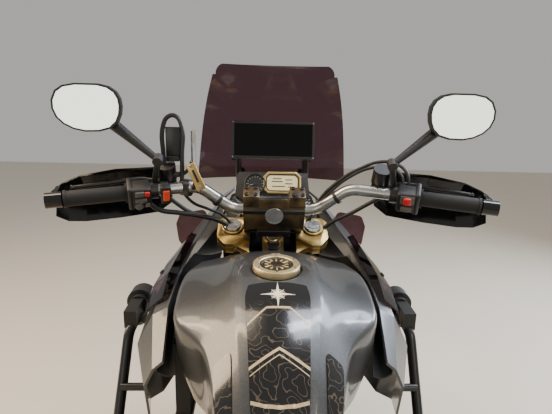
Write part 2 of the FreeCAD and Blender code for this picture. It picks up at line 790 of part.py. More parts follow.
# Inside the fairing: stays of the screen and the nose, the instrument's post, the navigation display's bar.
screenArm = [vector(0, 585, 1010), vector(20, 600, 1040), vector(96, 634, 1090), vector(100, 668, 1180),
             vector(100, 690, 1196)]
dashPlace = FreeCAD.Placement(vector(0, 520, 1134), FreeCAD.Rotation(alongX, -26))
navPlace = FreeCAD.Placement(vector(0, 556, 1256), FreeCAD.Rotation(alongX, -14))
dashPost = [vector(0, 590, 1016), vector(0, 588, 1090), vector(0, 556, 1122)]
navPost = [vector(96, 634, 1090), vector(100, 606, 1160), vector(100, 592, 1228)]
navBar = [vector(-100, 592, 1228), vector(100, 592, 1228)]
noseStay = [vector(0, 580, 1004), vector(110, 632, 985), vector(126, 690, 955)]
cradleRoute = [vector(84, 348, 862), vector(92, 372, 760), vector(92, 374, 520)]


def makeMainFrame():
    radius = size("sparRadius")
    head = Part.makeCylinder(size("headTubeRadius"), headHigh - headLow, steered(0, 0, headLow),
                             steered(0, 0, headHigh) - steered(0, 0, headLow))
    thickness = size("pivotPlateThickness")
    plate = sidePlate([(pivot.y - 46, pivot.z - 60), (pivot.y - 40, pivot.z + 70), (-128, 640), (-92, 640),
                       (-64, 560), (-24, 470), (-24, 400), (-96, 330), (-120, pivot.z - 150),
                       (size("standPivotY") - 26, size("standPivotHeight") - 22),
                       (size("standPivotY") - 28, size("standPivotHeight") + 40)], 16, plateX, thickness)
    pieces = [head]
    for route, r, bend in ((sparRoute, radius, 70), (cradleRoute, size("cradleRadius"), 60),
                           (railRoute, size("railRadius"), 60), (strutRoute, size("railRadius"), 20)):
        pieces += both(tube(route, r, bend))
    pieces += both(plate)
    pieces.append(rod(vector(-sparX - 4, -92, 744), vector(sparX + 4, -92, 744), 14))
    pieces.append(rod(vector(-86, -640, 820), vector(86, -640, 820), 9))
    pieces.append(rod(vector(-railEnd.x, railEnd.y + 8, railEnd.z),
                      vector(railEnd.x, railEnd.y + 8, railEnd.z), 9))
    # The beam that carries the cockpit runs forward between the fork legs.
    pieces.append(block(vector(-20, 20, 1032), vector(20, 186, 1086)).transformed(steeringPlace.toMatrix()))
    pieces += both(tube(screenArm, 8, 16))
    pieces += both(tube(noseStay, 8, 24))
    pieces += both(tube(navPost, 6, 20))
    pieces.append(rod(navBar[0], navBar[1], 6))
    pieces.append(tube(dashPost, 9, 16))
    frame = joined(pieces)
    bore = Part.makeCylinder(size("headTubeBore"), 600, steered(0, 0, headLow - 200),
                             steered(0, 0, 1) - steered(0, 0, 0))
    pivotBore = rod(vector(-200, pivot.y, pivot.z), vector(200, pivot.y, pivot.z), 13)
    standBore = rod(vector(-200, size("standPivotY"), size("standPivotHeight")),
                    vector(200, size("standPivotY"), size("standPivotHeight")), 9)
    return node("main_frame", frame.cut([bore, pivotBore, standBore]))


# Engine, its covers, cooling and exhaust

sideStandPlace = FreeCAD.Placement(vector(size("sideStandX"), size("sideStandY"), size("sideStandHeight")),
                                   FreeCAD.Rotation(alongY, size("sideStandSplay")))
crankHalf = size("crankcaseWidth") / 2
cylinderHalf = size("cylinderWidth") / 2
crankBottom = 236
rearHalf = plateX - seatGap


def makeEngine():
    case = sidePlate([(-6, 470), (-6, 262), (30, crankBottom), (290, crankBottom), (338, 300), (338, 420),
                      (300, 542), (60, 542)],
                     26, -crankHalf, 2 * crankHalf)
    gearbox = sidePlate([(-62, 560), (-108, 500), (-108, 330), (-60, 262), (20, 262), (20, 560)], 24,
                        -rearHalf, 2 * rearHalf)
    barrels = sidePlate([(96, 530), (130, 680), (330, 680), (316, 530)], 10, -cylinderHalf + 8,
                        2 * cylinderHalf - 16)
    head = sidePlate([(112, 600), (138, 716), (176, 742), (300, 742), (338, 706), (338, 600)], 18,
                     -cylinderHalf,
                     2 * cylinderHalf)
    ribs = [sidePlate([(92, z), (92, z + 6), (334, z + 6), (334, z)], 1, -cylinderHalf + 2,
                      2 * cylinderHalf - 4)
            for z in (556, 574)]
    mounts = both(rod(vector(92, 290, 520), vector(92, 374 - size("cradleRadius") - seatGap, 520), 15))
    engine = joined([case, gearbox, barrels, head] + ribs + mounts)
    ducts = both(rod(vector(58, 60, 690), vector(58, 150, 690), 30))
    bracket = placed(block(vector(12 + seatGap, -18, -12), vector(44, 18, 12)), sideStandPlace)
    bracket = joined([bracket, block(vector(-158, 22, 208), vector(-129, 58, 240))])
    return node("engine", joined([engine, bracket] + ducts))


def makeEngineCovers():
    """Round side covers over the clutch, the alternator and the water pump."""
    depth = size("coverDepth")
    x = crankHalf + seatGap
    big = joined([rod(vector(x, 210, 400), vector(x + depth * 0.7, 210, 400), 108),
                  rod(vector(x, 210, 400), vector(x + depth, 210, 400), 84),
                  rod(vector(x, 60, 356), vector(x + depth * 0.5, 60, 356), 56)])
    return node("engine_covers", pair(big))


def makeSkidPlate():
    low = 205
    outline = [(-30, low), (330, low), (412, 300), (418, 420), (412, 420), (404, 302), (326, low + 6),
               (-30, low + 6)]
    plate = sidePlate(outline, 3, -128, 256)
    rim = crankBottom - 5
    sides = both(sidePlate([(-30, low), (330, low), (398, 286), (398, 300), (346, rim), (-30, rim)], 4,
                           123, 5))
    posts = both(rod(vector(70, 120, low + 5), vector(70, 120, crankBottom - seatGap), 12))
    posts += both(rod(vector(70, 250, low + 5), vector(70, 250, crankBottom - seatGap), 12))
    return node("skid_plate", joined([plate] + sides + posts))


pipe = size("pipeRadius")
silencerStart = vector(-196, -398, 470)
silencerEnd = vector(-232, -800, 610)
silencerAlong = (silencerEnd - silencerStart).normalize()


def makeExhaust():
    """Two header pipes that meet under the engine, and the link pipe to the silencer."""
    y = 366
    right = [vector(54, 338 + seatGap, 640), vector(54, y + 10, 640), vector(54, y + 8, 470),
             vector(46, y, 306)]
    left = [vector(-p.x, p.y, p.z) for p in right]
    under = [vector(46, y, 306), vector(0, y, 299), vector(-112, y, 297), vector(-170, 352, 280),
             vector(-166, 100, 263),
             vector(-166, -176, 266), silencerStart - silencerAlong * 110, silencerStart]
    flanges = both(rod(vector(54, 338 + seatGap, 640), vector(54, 346, 640), pipe + 8))
    pieces = [tube(right, pipe, 26), tube(left, pipe, 26), tube(under, pipe + 1, 50)] + flanges
    return node("exhaust_pipes", joined(pieces))


def makeSilencer():
    along = silencerAlong
    side = (alongX - along * along.x).normalize()
    up = along.cross(side) * -1
    if up.z < 0:
        up = up * -1
    wide = size("silencerWidth") / 2
    tall = size("silencerHeight") / 2
    sections = []
    for at, share in ((seatGap, 0.42), (70, 0.86), (150, 1.0), ((silencerEnd - silencerStart).Length, 1.0)):
        middle = silencerStart + along * at
        corners = [(-1, -0.5), (-1, 0.55), (-0.5, 1), (0.62, 1), (1, 0.5), (1, -0.55), (0.5, -1),
                   (-0.5, -1)]
        sections.append(roundedWire([middle + side * (a * wide * share) + up * (b * tall * share) for a,
                                     b in corners],
                                    26 * share, True))
    shell = Part.makeLoft(sections, True, True)
    tip = rod(silencerEnd - along * 5, silencerEnd + along * 26, 30)
    hole = rod(silencerEnd - along * 60, silencerEnd + along * 30, 25)
    body = joined([shell, tip]).cut(hole)
    hanger = rod(vector(-208, -520, 540), vector(-97, -520, 766), 8).cut([body, tube(
        [vector(-p.x, p.y, p.z) for p in strutRoute], size("railRadius") + seatGap, 20)])
    hanger = max(hanger.Solids, key=lambda part: part.Volume)
    return node("silencer", joined([body, hanger]))


def makeRadiator():
    core = block(vector(-226, 244, 622), vector(-192, 396, 800))
    tanks = [block(vector(-229, 240, 796), vector(-189, 400, 818)),
             block(vector(-229, 240, 604), vector(-189, 400, 626))]
    hose = tube([vector(-208, 262, 612), vector(-208, 262, 530), vector(-crankHalf - seatGap, 262, 530)],
                12, 24)
    stays = [rod(vector(-196, 384, z), vector(-92, 374, z), 7) for z in (650, 740)]
    cradle = tube([vector(-p.x, p.y, p.z) for p in cradleRoute], size("cradleRadius") + seatGap, 60)
    return node("radiator", joined([core, hose] + tanks + stays).cut(cradle))


# Swingarm, final drive, rear brake and suspension

armInner = size("rearTyreWidth") / 2 + 14
armOuter = armInner + 38
armSlope = math.degrees(math.atan2(pivot.z - rearAxle.z, pivot.y - rearAxle.y))


def makeSwingarm():
    innerPivot = plateX - 1
    armLength = math.hypot(pivot.y - rearAxle.y, pivot.z - rearAxle.z)
    outline = [(innerPivot - 44, 24), (innerPivot, 24), (innerPivot, -52), (armOuter, -104),
               (armOuter, -armLength - 44),
               (armInner, -armLength - 44), (armInner, -180), (innerPivot - 44, -110)]
    arm = planPlate(outline, 18, -34, 68)
    cross = block(vector(-innerPivot, -150, -26), vector(innerPivot, -88, 26))
    sleeve = rod(vector(-innerPivot, 0, 0), vector(innerPivot, 0, 0), 30)
    lug = sidePlate([(-150, 0), (-150, 34), (-120, 52), (-92, 34), (-92, 0)], 8, -30, 60)
    slot = block(vector(-19, -160, 12), vector(19, -80, 60))
    body = joined(both(arm) + [cross, sleeve, lug]).cut(slot)
    body.rotate(origin, alongX, armSlope)
    body.translate(pivot)
    axle = rod(rearAxle - alongX * (armOuter + 12), rearAxle + alongX * (armOuter + 12), size("axleRadius"))
    axleBore = rod(rearAxle - alongX * 300, rearAxle + alongX * 300, size("axleBoreRadius"))
    pivotBore = rod(pivot - alongX * 200, pivot + alongX * 200, 13)
    driveSeat = rod(rearAxle - alongX * (armOuter + 60), rearAxle - alongX * 20, 74 + seatGap)
    stands = [rod(vector(x, rearAxle.y + 90, rearAxle.z - 20),
                  vector(x + math.copysign(22, x), rearAxle.y + 90, rearAxle.z - 20), 12)
              for x in (armOuter - 4, -armOuter + 4)]
    holes = [rod(vector(math.copysign(armOuter, x), rearAxle.y + 90, rearAxle.z - 20),
                 vector(x + math.copysign(23, x), rearAxle.y + 90, rearAxle.z - 20), 4)
             for x in (armOuter - 4, -armOuter + 4)]
    arms = joined([body] + stands).cut([driveSeat, pivotBore] + holes)
    return node("swingarm", joined([arms, axle]).cut(axleBore))


def makeFinalDrive():
    out = -(armOuter + 20)
    inner = -(size("rearHubWidth") / 2 + size("runningGap"))
    housing = joined([rod(vector(out + 14, 0, 0), vector(inner, 0, 0), 74),
                      rod(vector(out, 0, 0), vector(out + 16, 0, 0), 56)])
    housing.translate(rearAxle)
    bore = rod(rearAxle - alongX * 300, rearAxle + alongX * 300, size("axleRadius") + seatGap)
    return node("final_drive", housing.cut(bore))


def makeRearShock():
    low = vector(0, -120, 30)
    low = FreeCAD.Rotation(alongX, armSlope).multVec(low) + pivot
    top = vector(0, -112, 744 - 14 - seatGap)
    along = (top - low).normalize()
    length = (top - low).Length
    profile = [(0, 0), (9, 0), (9, 40), (36, 44), (36, 52), (22, 54)]
    turns = 6
    pitch = (length - 54 - 62) / turns
    for i in range(turns):
        start = 54 + pitch * i
        profile += [(22, start + pitch * 0.2), (32, start + pitch * 0.38), (32, start + pitch * 0.72),
                    (22, start + pitch * 0.9)]
    profile += [(22, length - 60), (36, length - 58), (36, length - 50), (26, length - 46),
                (26, length - 16), (9, length - 14),
                (9, length), (0, length)]
    body = Part.Face(Part.makePolygon([vector(r, 0, z) for r,
                                       z in profile + profile[:1]])).revolve(origin, alongZ, 360)
    body = placed(body, FreeCAD.Placement(low, FreeCAD.Rotation(alongZ, along)))
    pieces = [body, rod(low - alongX * 18.5, low + alongX * 18.5, 12)]
    return node("rear_shock", joined(pieces))


def makeRearCaliper():
    x = size("rearDiscX")
    reach = size("rearDiscRadius")
    slot = size("discThickness") / 2 + size("runningGap")
    body = prism([vector(x - 12, reach * 0.5, 30), vector(x - 12, reach * 0.5, reach * 0.8),
                  vector(x - 12, reach * 0.9, reach * 0.8), vector(x - 12, reach * 1.1, 30)], 10,
                 alongX * (armInner - seatGap - x + 12))
    cut = Part.makeCylinder(reach + size("runningGap"), 2 * slot, vector(x - slot, 0, 0), alongX)
    shape = body.cut(cut)
    shape.translate(rearAxle)
    return node("rear_caliper", shape)


def makeFootPegs():
    """Ribbed pegs on brackets bolted outside the pivot plates."""
    x = plateX + size("pivotPlateThickness") + seatGap
    bracket = sidePlate([(-190, 340), (-170, 420), (-110, 420), (-96, 352), (-120, 330)], 10, x, 14)
    arm = tube([vector(x + 7, -150, 350), vector(x + 34, -150, 344), vector(x + 60, -146, 340)], 8, 14)
    peg = block(vector(x + 50, -172, 330), vector(x + 130, -122, 350))
    return node("foot_pegs", pair(joined([bracket, arm, peg])))


def makePedals():
    """Brake pedal on the right, gear lever on the left."""
    x = plateX + size("pivotPlateThickness") + seatGap
    outer = crankHalf + size("coverDepth")
    brake = joined([rod(vector(x, -70, 330), vector(x + 26, -70, 330), 13),
                    tube([vector(x + 18, -70, 330), vector(outer + 22, -20, 318),
                          vector(outer + 26, 92, 312)], 7, 30),
                    block(vector(outer + 4, 86, 306), vector(outer + 46, 124, 318))])
    gear = joined([rod(vector(-x, -70, 330), vector(-x - 26, -70, 330), 11),
                   tube([vector(-x - 18, -70, 330), vector(-outer - 22, -20, 322),
                         vector(-outer - 26, 98, 318)], 6, 30),
                   rod(vector(-outer - 12, 98, 318), vector(-outer - 52, 98, 318), 11)])
    return node("pedals", Part.makeCompound([brake, gear]))


makeMainFrame()
makeEngine()
makeEngineCovers()
makeSkidPlate()
makeExhaust()
makeSilencer()
makeRadiator()
makeSwingarm()
makeFinalDrive()
makeRearShock()
makeRearCaliper()
makeFootPegs()
makePedals()


# Tank, cap, pads and seats

tankHalf = size("tankWidth") / 2
tankTop = size("tankTop")
tankFront = size("tankFrontY")


def tankSection(y, top, spine, dip, half, ridge, low, lowHalf):
    """Across the tank at y: a central spine, dished shoulders, a ridge at the widest place, and the sides."""
    edge = top - 7
    dish = (spine + half) / 2
    right = [(lowHalf, low), (half - 5, (ridge + low) / 2), (half, ridge),
             (dish, (edge + ridge) / 2 - dip), (spine, edge)]
    points = [vector(x, y, z) for x, z in right] + [vector(0, y,
                                                           top)] + [vector(-x, y, z) for x,
                                                                    z in right[::-1]]
    return Part.makePolygon(points + points[:1])


def tankShape():
    capY = size("capY")
    sections = [
        tankSection(tankFront, tankTop - 26, 66, 0, tankHalf * 0.88, tankTop - 60, 872, tankHalf * 0.7),
        tankSection(tankFront - 76, tankTop - 6, 76, 6, tankHalf * 0.99, tankTop - 58, 842, tankHalf * 0.8),
        tankSection(capY, tankTop, 76, 12, tankHalf, tankTop - 68, 812, tankHalf * 0.84),
        tankSection(capY - 66, tankTop - 11, 74, 10, tankHalf * 0.94, tankTop - 80, 806, tankHalf * 0.78),
        tankSection(capY - 134, tankTop - 34, 68, 0, tankHalf * 0.66, tankTop - 98, 814, tankHalf * 0.6),
        tankSection(-92, tankTop - 82, 58, 0, tankHalf * 0.52, tankTop - 128, 812, tankHalf * 0.48),
        tankSection(-146, tankTop - 128, 50, 0, tankHalf * 0.46, tankTop - 162, 820, tankHalf * 0.42),
    ]
    return Part.makeLoft(sections, True, False)


capFrame = FreeCAD.Placement(vector(0, size("capY"), tankTop + 1), FreeCAD.Rotation(alongX, 3))
capRadius = size("capRadius")


def makeTank():
    """The tank, and the flange ring around its filler neck that the cap's seat and hinge belong to."""
    seat = placed(rod(vector(0, 0, -13), vector(0, 0, 30), capRadius + size("runningGap")), capFrame)
    neck = placed(rod(vector(0, 0, -46), vector(0, 0, 30), 30), capFrame)
    flange = placed(rod(vector(0, 0, -46), vector(0, 0, 30), size("flangeRadius")), capFrame)
    recess = placed(rod(vector(0, 0, -46.4), vector(0, 0, 30), size("flangeRadius") + seatGap), capFrame)
    cuts = both(tube(sparRoute, size("sparRadius") + 4,
                     70)) + both(tube(railRoute, size("railRadius") + 3, 60))
    tank = tankShape()
    node("filler_flange", tank.common(flange).cut([seat, neck]))
    node("fuel_tank", tank.cut([recess] + cuts))


def makeFuelCap():
    """A flush round lid; its hinge lies at the front edge and its plug closes the filler neck."""
    lid = joined([rod(vector(0, 0, -8), vector(0, 0, 2), capRadius),
                  rod(vector(0, 0, -26), vector(0, 0, -8), 19)])
    return node("fuel_cap", placed(lid, capFrame))


def tankSkin(outline, start, height, push):
    """The part of the tank's surface above an outline, lifted off it as a thin pad."""
    cutter = planPlate(outline, 12, start, height)
    lifted = tankShape()
    lifted.translate(push * 2.2)
    base = tankShape()
    base.translate(push * seatGap)
    return lifted.common(cutter).cut(base)


def makeTankPads():
    y = size("capY")
    centre = tankSkin([(-54, y - 60), (-57, y - 96), (-50, y - 180), (-42, -141), (42, -141),
                       (50, y - 180), (57, y - 96),
                       (54, y - 60), (24, y - 56), (-24, y - 56)], 860, 240, alongZ)
    knee = tankSkin([(76, -52), (104, -44), (96, -132), (70, -138)], 860, 240, alongZ)
    pads = [max(skin.Solids, key=lambda part: part.Volume) for skin in (centre, knee, mirrored(knee))]
    return node("tank_pads", Part.makeCompound(pads))


def seatShape(rows):
    """Sections across a seat: (y, half width, edge height, middle height, underside)."""
    sections = []
    for y, half, edge, middle, low in rows:
        arc = Part.Arc(vector(-half, y, edge), vector(0, y, middle), vector(half, y, edge))
        lower = [vector(half, y, edge), vector(half * 0.9, y, low), vector(-half * 0.9, y, low),
                 vector(-half, y, edge)]
        sections.append(Part.Wire([arc.toShape()] + [Part.LineSegment(a, b).toShape() for a,
                                                     b in zip(lower, lower[1:])]))
    return Part.makeLoft(sections, True, False)


def makeSeats():
    seat = size("seatHeight")
    rider = seatShape([(-152, 78, seat + 14, seat + 40, 812), (-200, 112, seat - 22, seat + 4, 800),
                       (-300, 160, seat - 36, seat - 6, 802), (-400, 176, seat - 34, seat, 812),
                       (-466, 168, seat - 20, seat + 16, 826)])
    pillion = size("pillionHeight")
    rear = seatShape([(-470, 160, pillion - 44, pillion - 10, 838), (-560, 164, pillion - 34, pillion, 842),
                      (-700, 146, pillion - 30, pillion - 2, 852), (-782, 118, pillion - 34, pillion - 12,
                                                                    860)])
    cuts = both(tube(railRoute, size("railRadius") + seatGap, 60))
    return node("rider_seat", rider.cut(cuts)), node("pillion_seat", rear.cut(cuts))


makeTank()
makeFuelCap()
makeTankPads()
makeSeats()


# Fairing: side cowls, smoked panels, nose, lamps, screen and cockpit

cowlHalf = size("cowlWidth") / 2
wall = size("cowlThickness")


def shellSection(y, points, thickness):
    """A strip across the machine at y, given a thickness towards the inside."""
    outer = [vector(x, y, z) for x, z in points]
    inner = []
    for i, p in enumerate(outer):
        a = outer[max(i - 1, 0)]
        b = outer[min(i + 1, len(outer) - 1)]
        along = (b - a).normalize()
        inner.append(p + vector(along.z, 0, -along.x) * thickness)
    return Part.makePolygon(outer + inner[::-1] + [outer[0]])


def noseSections(shrink):
    """Arched sections of the upper fairing, from the cockpit forward to the beak's tip."""
    rows = [(600, 146, 1118, 900), (690, 140, 1092, 880), (760, 122, 1028, 862), (830, 98, 960, 850),
            (920, 70, 905, 846), (1010, 40, 872, 848)]
    sections = []
    for y, half, top, low in rows:
        half -= shrink
        top -= shrink
        tall = top - low
        right = [(half * 0.9, low), (half, top - tall * 0.42), (half * 0.8, top - tall * 0.12),
                 (half * 0.36, top)]
        points = right + [(-x, z) for x, z in right[::-1]]
        sections.append(Part.makePolygon([vector(x, y, z) for x, z in points + points[:1]]))
    return sections


def noseSolid(shrink=0.0, back=0.0):
    solid = Part.makeLoft(noseSections(shrink), True, True)
    if back:
        solid.translate(alongY * -back)
    return solid


lampCorners = [(-9, 932), (-20, 1012), (-76, 1030), (-106, 992), (-98, 944), (-56, 920)]


def lampPrism(grow):
    centre = (-57, 974)
    corners = [(centre[0] + (x - centre[0]) * (1 + grow / 48),
                centre[1] + (z - centre[1]) * (1 + grow / 50))
               for x, z in lampCorners]
    return pair(prism([vector(x, 700, z) for x, z in corners], 12, vector(0, 260, 0)))


def screenSection(z, y, half, bow):
    outer = Part.Arc(vector(-half, y - bow, z), vector(0, y + bow, z), vector(half, y - bow, z)).toShape()
    t = size("screenThickness")
    inner = Part.Arc(vector(half, y - bow - t, z), vector(0, y + bow - t, z),
                     vector(-half, y - bow - t, z)).toShape()
    return Part.Wire([outer, Part.LineSegment(vector(half, y - bow, z),
                                              vector(half, y - bow - t, z)).toShape(), inner,
                      Part.LineSegment(vector(-half, y - bow - t, z), vector(-half, y - bow, z)).toShape()])


def makeFairing():
    nose = noseSolid().cut(noseSolid(wall, 6)).cut(lampPrism(seatGap))
    lamps = lampPrism(0).common(noseSolid())
    lamps = lamps.common(block(vector(-200, 640, 800), vector(200, 1100, 1100)))
    beam = block(vector(-20 - seatGap, 20, headHigh - 100 - seatGap),
                 vector(20 + seatGap, 186 + seatGap, headHigh - 46 + seatGap))
    stays = both(tube(noseStay, 8 + seatGap, 24)) + both(tube(screenArm, 8 + seatGap, 16))
    cuts = stays + [placed(beam, steeringPlace)]
    node("nose_cowl", nose.cut(cuts))
    node("headlamps", Part.makeCompound(lamps.Solids).cut(cuts))
    # The screen, bowed across and raked back, with holes where its two stays come through.
    half = size("screenWidth") / 2
    topHalf = size("screenTopWidth") / 2
    top = size("screenTop")
    low = 1126
    rows = [(low, 690, half, 26), (low + (top - low) * 0.4, 632, half * 0.91, 30),
            (low + (top - low) * 0.8, 565, half * 0.78, 26), (top, 530, topHalf, 20)]
    screen = Part.makeLoft([screenSection(*row) for row in rows], True, False)
    corner = size("screenCorner")
    trim = block(vector(topHalf - corner, 400, top - corner), vector(topHalf + 60, 700, top + 10))
    round = rod(vector(topHalf - corner, 400, top - corner), vector(topHalf - corner, 700, top - corner),
                corner + 2)
    node("windscreen", screen.cut(cuts + both(trim.cut(round))))
    # Side cowls: sheets that leave the nose and run back beside the tank.
    rows = [
        (40, [(204, 900), (222, 884), (238, 850), (232, 792)]),
        (150, [(214, 952), (244, 936), (cowlHalf - 6, 872), (cowlHalf - 24, 742)]),
        (260, [(210, 982), (240, 968), (cowlHalf, 880), (cowlHalf - 26, 680)]),
        (380, [(196, 1006), (226, 990), (cowlHalf - 20, 890), (cowlHalf - 44, 668)]),
        (500, [(170, 1036), (204, 1016), (cowlHalf - 52, 916), (cowlHalf - 78, 730)]),
        (620, [(136, 1076), (164, 1050), (188, 950), (172, 840)]),
        (700, [(100, 1096), (140, 1070), (156, 980), (146, 900)]),
    ]
    shell = Part.makeLoft([shellSection(y, points, -wall) for y, points in rows], True, True)
    stay = rod(vector(98, 336, 850), vector(cowlHalf - 16, 336, 850), 7)
    stay = stay.cut(tube(sparRoute, size("sparRadius") + seatGap, 70))
    cowl = shell.cut(noseSolid()).fuse(max(stay.Solids, key=lambda part: part.Volume))
    cowl = max(cowl.Solids, key=lambda part: part.Volume)
    node("side_cowls", pair(cowl))
    # Smoked panels that stand on the cowls' upper edges, and the small deflectors ahead of the bars.
    rows = [
        (176, [(220, 958), (232, 962), (262, 936), (272, 906)]),
        (250, [(216, 984), (232, 988), (266, 956), (282, 918)]),
        (340, [(206, 1006), (220, 1010), (254, 974), (270, 934)]),
        (420, [(196, 1022), (208, 1028), (234, 992), (248, 950)]),
    ]
    panel = Part.makeLoft([shellSection(y, points, -3) for y, points in rows], True, True).cut(shell)
    flap = prism([vector(x, 0, z) for x, z in ((-44, 8), (18, -8), (40, 24), (46, 74), (34, 104),
                                               (-34, 112), (-58, 60))], 14,
                 vector(0, 3, 0))
    flap = placed(flap, FreeCAD.Placement(vector(224, 548, 944),
                                          FreeCAD.Rotation(alongZ, -14))).cut([shell, noseSolid()])
    flap = max(flap.Solids, key=lambda part: part.BoundBox.XMax)
    panel = max(panel.Solids, key=lambda part: part.Volume)
    node("smoked_panels", Part.makeCompound(both(panel) + both(flap)))
    # Cockpit: the instrument on its post, and the navigation display on its own bar.
    dash = prism([vector(x, 0, z) for x, z in ((-102, -26), (-96, 40), (96, 40), (102, -26), (80, -40),
                                               (-80, -40))], 8,
                 vector(0, 40, 0))
    node("dashboard", placed(dash, dashPlace).cut(tube(dashPost, 9 + seatGap, 16)))
    nav = prism([vector(x, 0, z) for x, z in ((-114, -50), (-114, 52), (114, 52), (114, -50))], 4,
                vector(0, 24, 0))
    hold = block(vector(-26, 20, -34), vector(26, 44, -4))
    node("nav_display", placed(joined([nav, hold]), navPlace).cut([rod(navBar[0], navBar[1], 6 + seatGap)]))


makeFairing()


# Crash bars with their lamps, and everything behind the seats

crashRoute = [vector(crankHalf + seatGap, 322, 342), vector(214, 322, 342),
              vector(size("crashBarX") + 2, 252, 340),
              vector(size("crashBarX") + 20, 236, 600), vector(size("crashBarX") + 2, 330, 836),
              vector(size("crashBarX") - 22, 416, 786), vector(262, 446, 610),
              vector(104 + size("cradleRadius"), 378, 532)]


def makeCrashBars():
    bar = tube(crashRoute, size("crashBarRadius"), 60)
    end = crashRoute[-1]
    lug = rod(end + vector(8, 0, 0), vector(92 + size("cradleRadius") + seatGap, 374, 532), 14)
    stub = rod(vector(size("crashBarX") + 14, 262, 690), vector(cowlHalf - 2, 262, 690),
               size("crashBarRadius") - 3)
    return node("crash_bars", pair(joined([bar, lug, stub])))


def makeFogLamps():
    x = size("crashBarX")
    centre = vector(x, 412, 838)
    lamp = joined([rod(centre, centre + vector(0, 44, 0), 35), rod(centre - alongY * 16, centre, 24),
                   block(vector(x - 13, 322, 812), vector(x + 17, 402, 856))])
    return node("fog_lamps", pair(lamp.cut(tube(crashRoute, size("crashBarRadius") + seatGap, 60))))


def makeTail():
    top = size("rackHeight")
    rails = [tube(railRoute, size("railRadius") + seatGap, 60),
             rod(vector(-railEnd.x, railEnd.y + 8, railEnd.z), vector(railEnd.x, railEnd.y + 8, railEnd.z),
                 9 + seatGap)]
    postRoutes = [(vector(76, -864, 845), vector(84, -864, top - 4)),
                  (vector(73.5, -906, 849), vector(84, -906, top - 4))]
    rows = [(-486, [(112, 872), (134, 866), (142, 846), (116, 806)]),
            (-700, [(96, 884), (118, 880), (126, 860), (104, 822)]),
            (-900, [(70, 892), (88, 888), (96, 876), (82, 846)]), (-962,
                                                                   [(40, 890), (54, 888), (60, 878),
                                                                    (50, 862)])]
    panel = Part.makeLoft([shellSection(y, points, -4) for y, points in rows], True, True)
    stays = [rod(vector(80, y, z), vector(x, y, z), 6) for x, y, z in ((116, -620, 834), (98, -840, 846))]
    panel = joined([panel] + stays).cut(rails)
    seats = [o.Shape for o in doc.Objects if o.Label in ("rider_seat", "pillion_seat")]
    panel = panel.cut(seats + [rod(a, b, 8 + seatGap) for a, b in postRoutes])
    node("tail_cowl", pair(max(panel.Solids, key=lambda part: part.Volume)))
    # The rack: a plate with slots and four bolt holes inside a tube loop, on posts from the rails.
    plate = planPlate([(-94, -800), (94, -800), (106, -1026), (-106, -1026)], 24, top - 6, 6)
    slots = [planPlate([(x - 9, -846), (x + 9, -846), (x + 9, -976), (x - 9, -976)], 8.9, top - 10,
                       20) for x in (-30, 30)]
    boltX = size("rackBoltSpacingX") / 2
    boltY = size("rackBoltSpacingY") / 2
    holes = [rod(vector(sx * boltX, -910 + sy * boltY, top - 12),
                 vector(sx * boltX, -910 + sy * boltY, top + 4),
                 size("rackBoltRadius")) for sx in (-1, 1) for sy in (-1, 1)]
    loop = tube([vector(78, -790, top - 9), vector(100, -800, top - 9), vector(112, -1040, top - 9),
                 vector(0, -1052, top - 9),
                 vector(-112, -1040, top - 9), vector(-100, -800, top - 9), vector(-78, -790, top - 9)], 8,
                 40)
    posts = [post for a, b in postRoutes for post in both(rod(a, b, 8))]
    rack = joined([plate, loop] + posts).cut(both(rails[0]) + [rails[1]] + slots + holes)
    node("rear_rack", max(rack.Solids, key=lambda part: part.Volume))
    strip = sidePlate([(-870, 831), (-968, 831), (-1120, 566), (-1125, 470), (-1119, 470), (-1114, 562),
                       (-964, 825), (-870, 825)],
                      3, -76, 152)
    boss = block(vector(-40, -930, 829), vector(40, -914, railEnd.z - 9 - seatGap))
    node("rear_mudguard", joined([strip, boss]))
    lamp = sidePlate([(-934, 861 + seatGap), (-934, 886), (-976, 886), (-988, 861 + seatGap)], 4, -34, 68)
    node("tail_lamp", lamp)
    stalk = joined([rod(vector(76 + seatGap, -1000, 771), vector(120, -1000, 771), 6),
                    rod(vector(108, -1000, 771), vector(160, -1000, 771), 15)])
    node("indicators", pair(stalk))


makeCrashBars()
makeFogLamps()
makeTail()


# Stands: both pivots carry a pin, and the feet reach the floor

def makeCentreStand():
    y = size("standPivotY")
    z = size("standPivotHeight")
    radius = size("standTubeRadius")
    inner = plateX - 1
    footX = size("standFootX")
    footY = size("standFootY")
    leg = tube([vector(inner - 14, y, z), vector(inner - 12, y + 2, z - 60), vector(footX, footY, 8)],
               radius, 60)
    foot = block(vector(footX - 16, footY - 42, 0), vector(footX + 16, footY + 42, 14))
    barrel = rod(vector(inner - 28, y, z), vector(inner - seatGap, y, z), 18)
    brace = rod(vector(-footX + 16, footY - 4, 96), vector(footX - 16, footY - 4, 96), 11)
    stand = joined(both(leg) + both(foot) + both(barrel) + [brace])
    pin = rod(vector(-200, y, z), vector(200, y, z), 9.3)
    return node("centre_stand", stand.cut(pin))


def makeSideStand():
    """Folded back; its own X is the hinge, which leans so that the leg swings down and outward."""
    length = size("sideStandLength")
    leg = joined([rod(vector(-12, 0, 0), vector(12, 0, 0), 17),
                  rod(vector(-2, -8, 0), vector(-2, 16 - length, 0), 9),
                  block(vector(-26, -length, -11), vector(20, 40 - length, -3))])
    bore = rod(vector(-60, 0, 0), vector(60, 0, 0), 5)
    return node("side_stand", leg.cut(bore), sideStandPlace)


makeCentreStand()
makeSideStand()

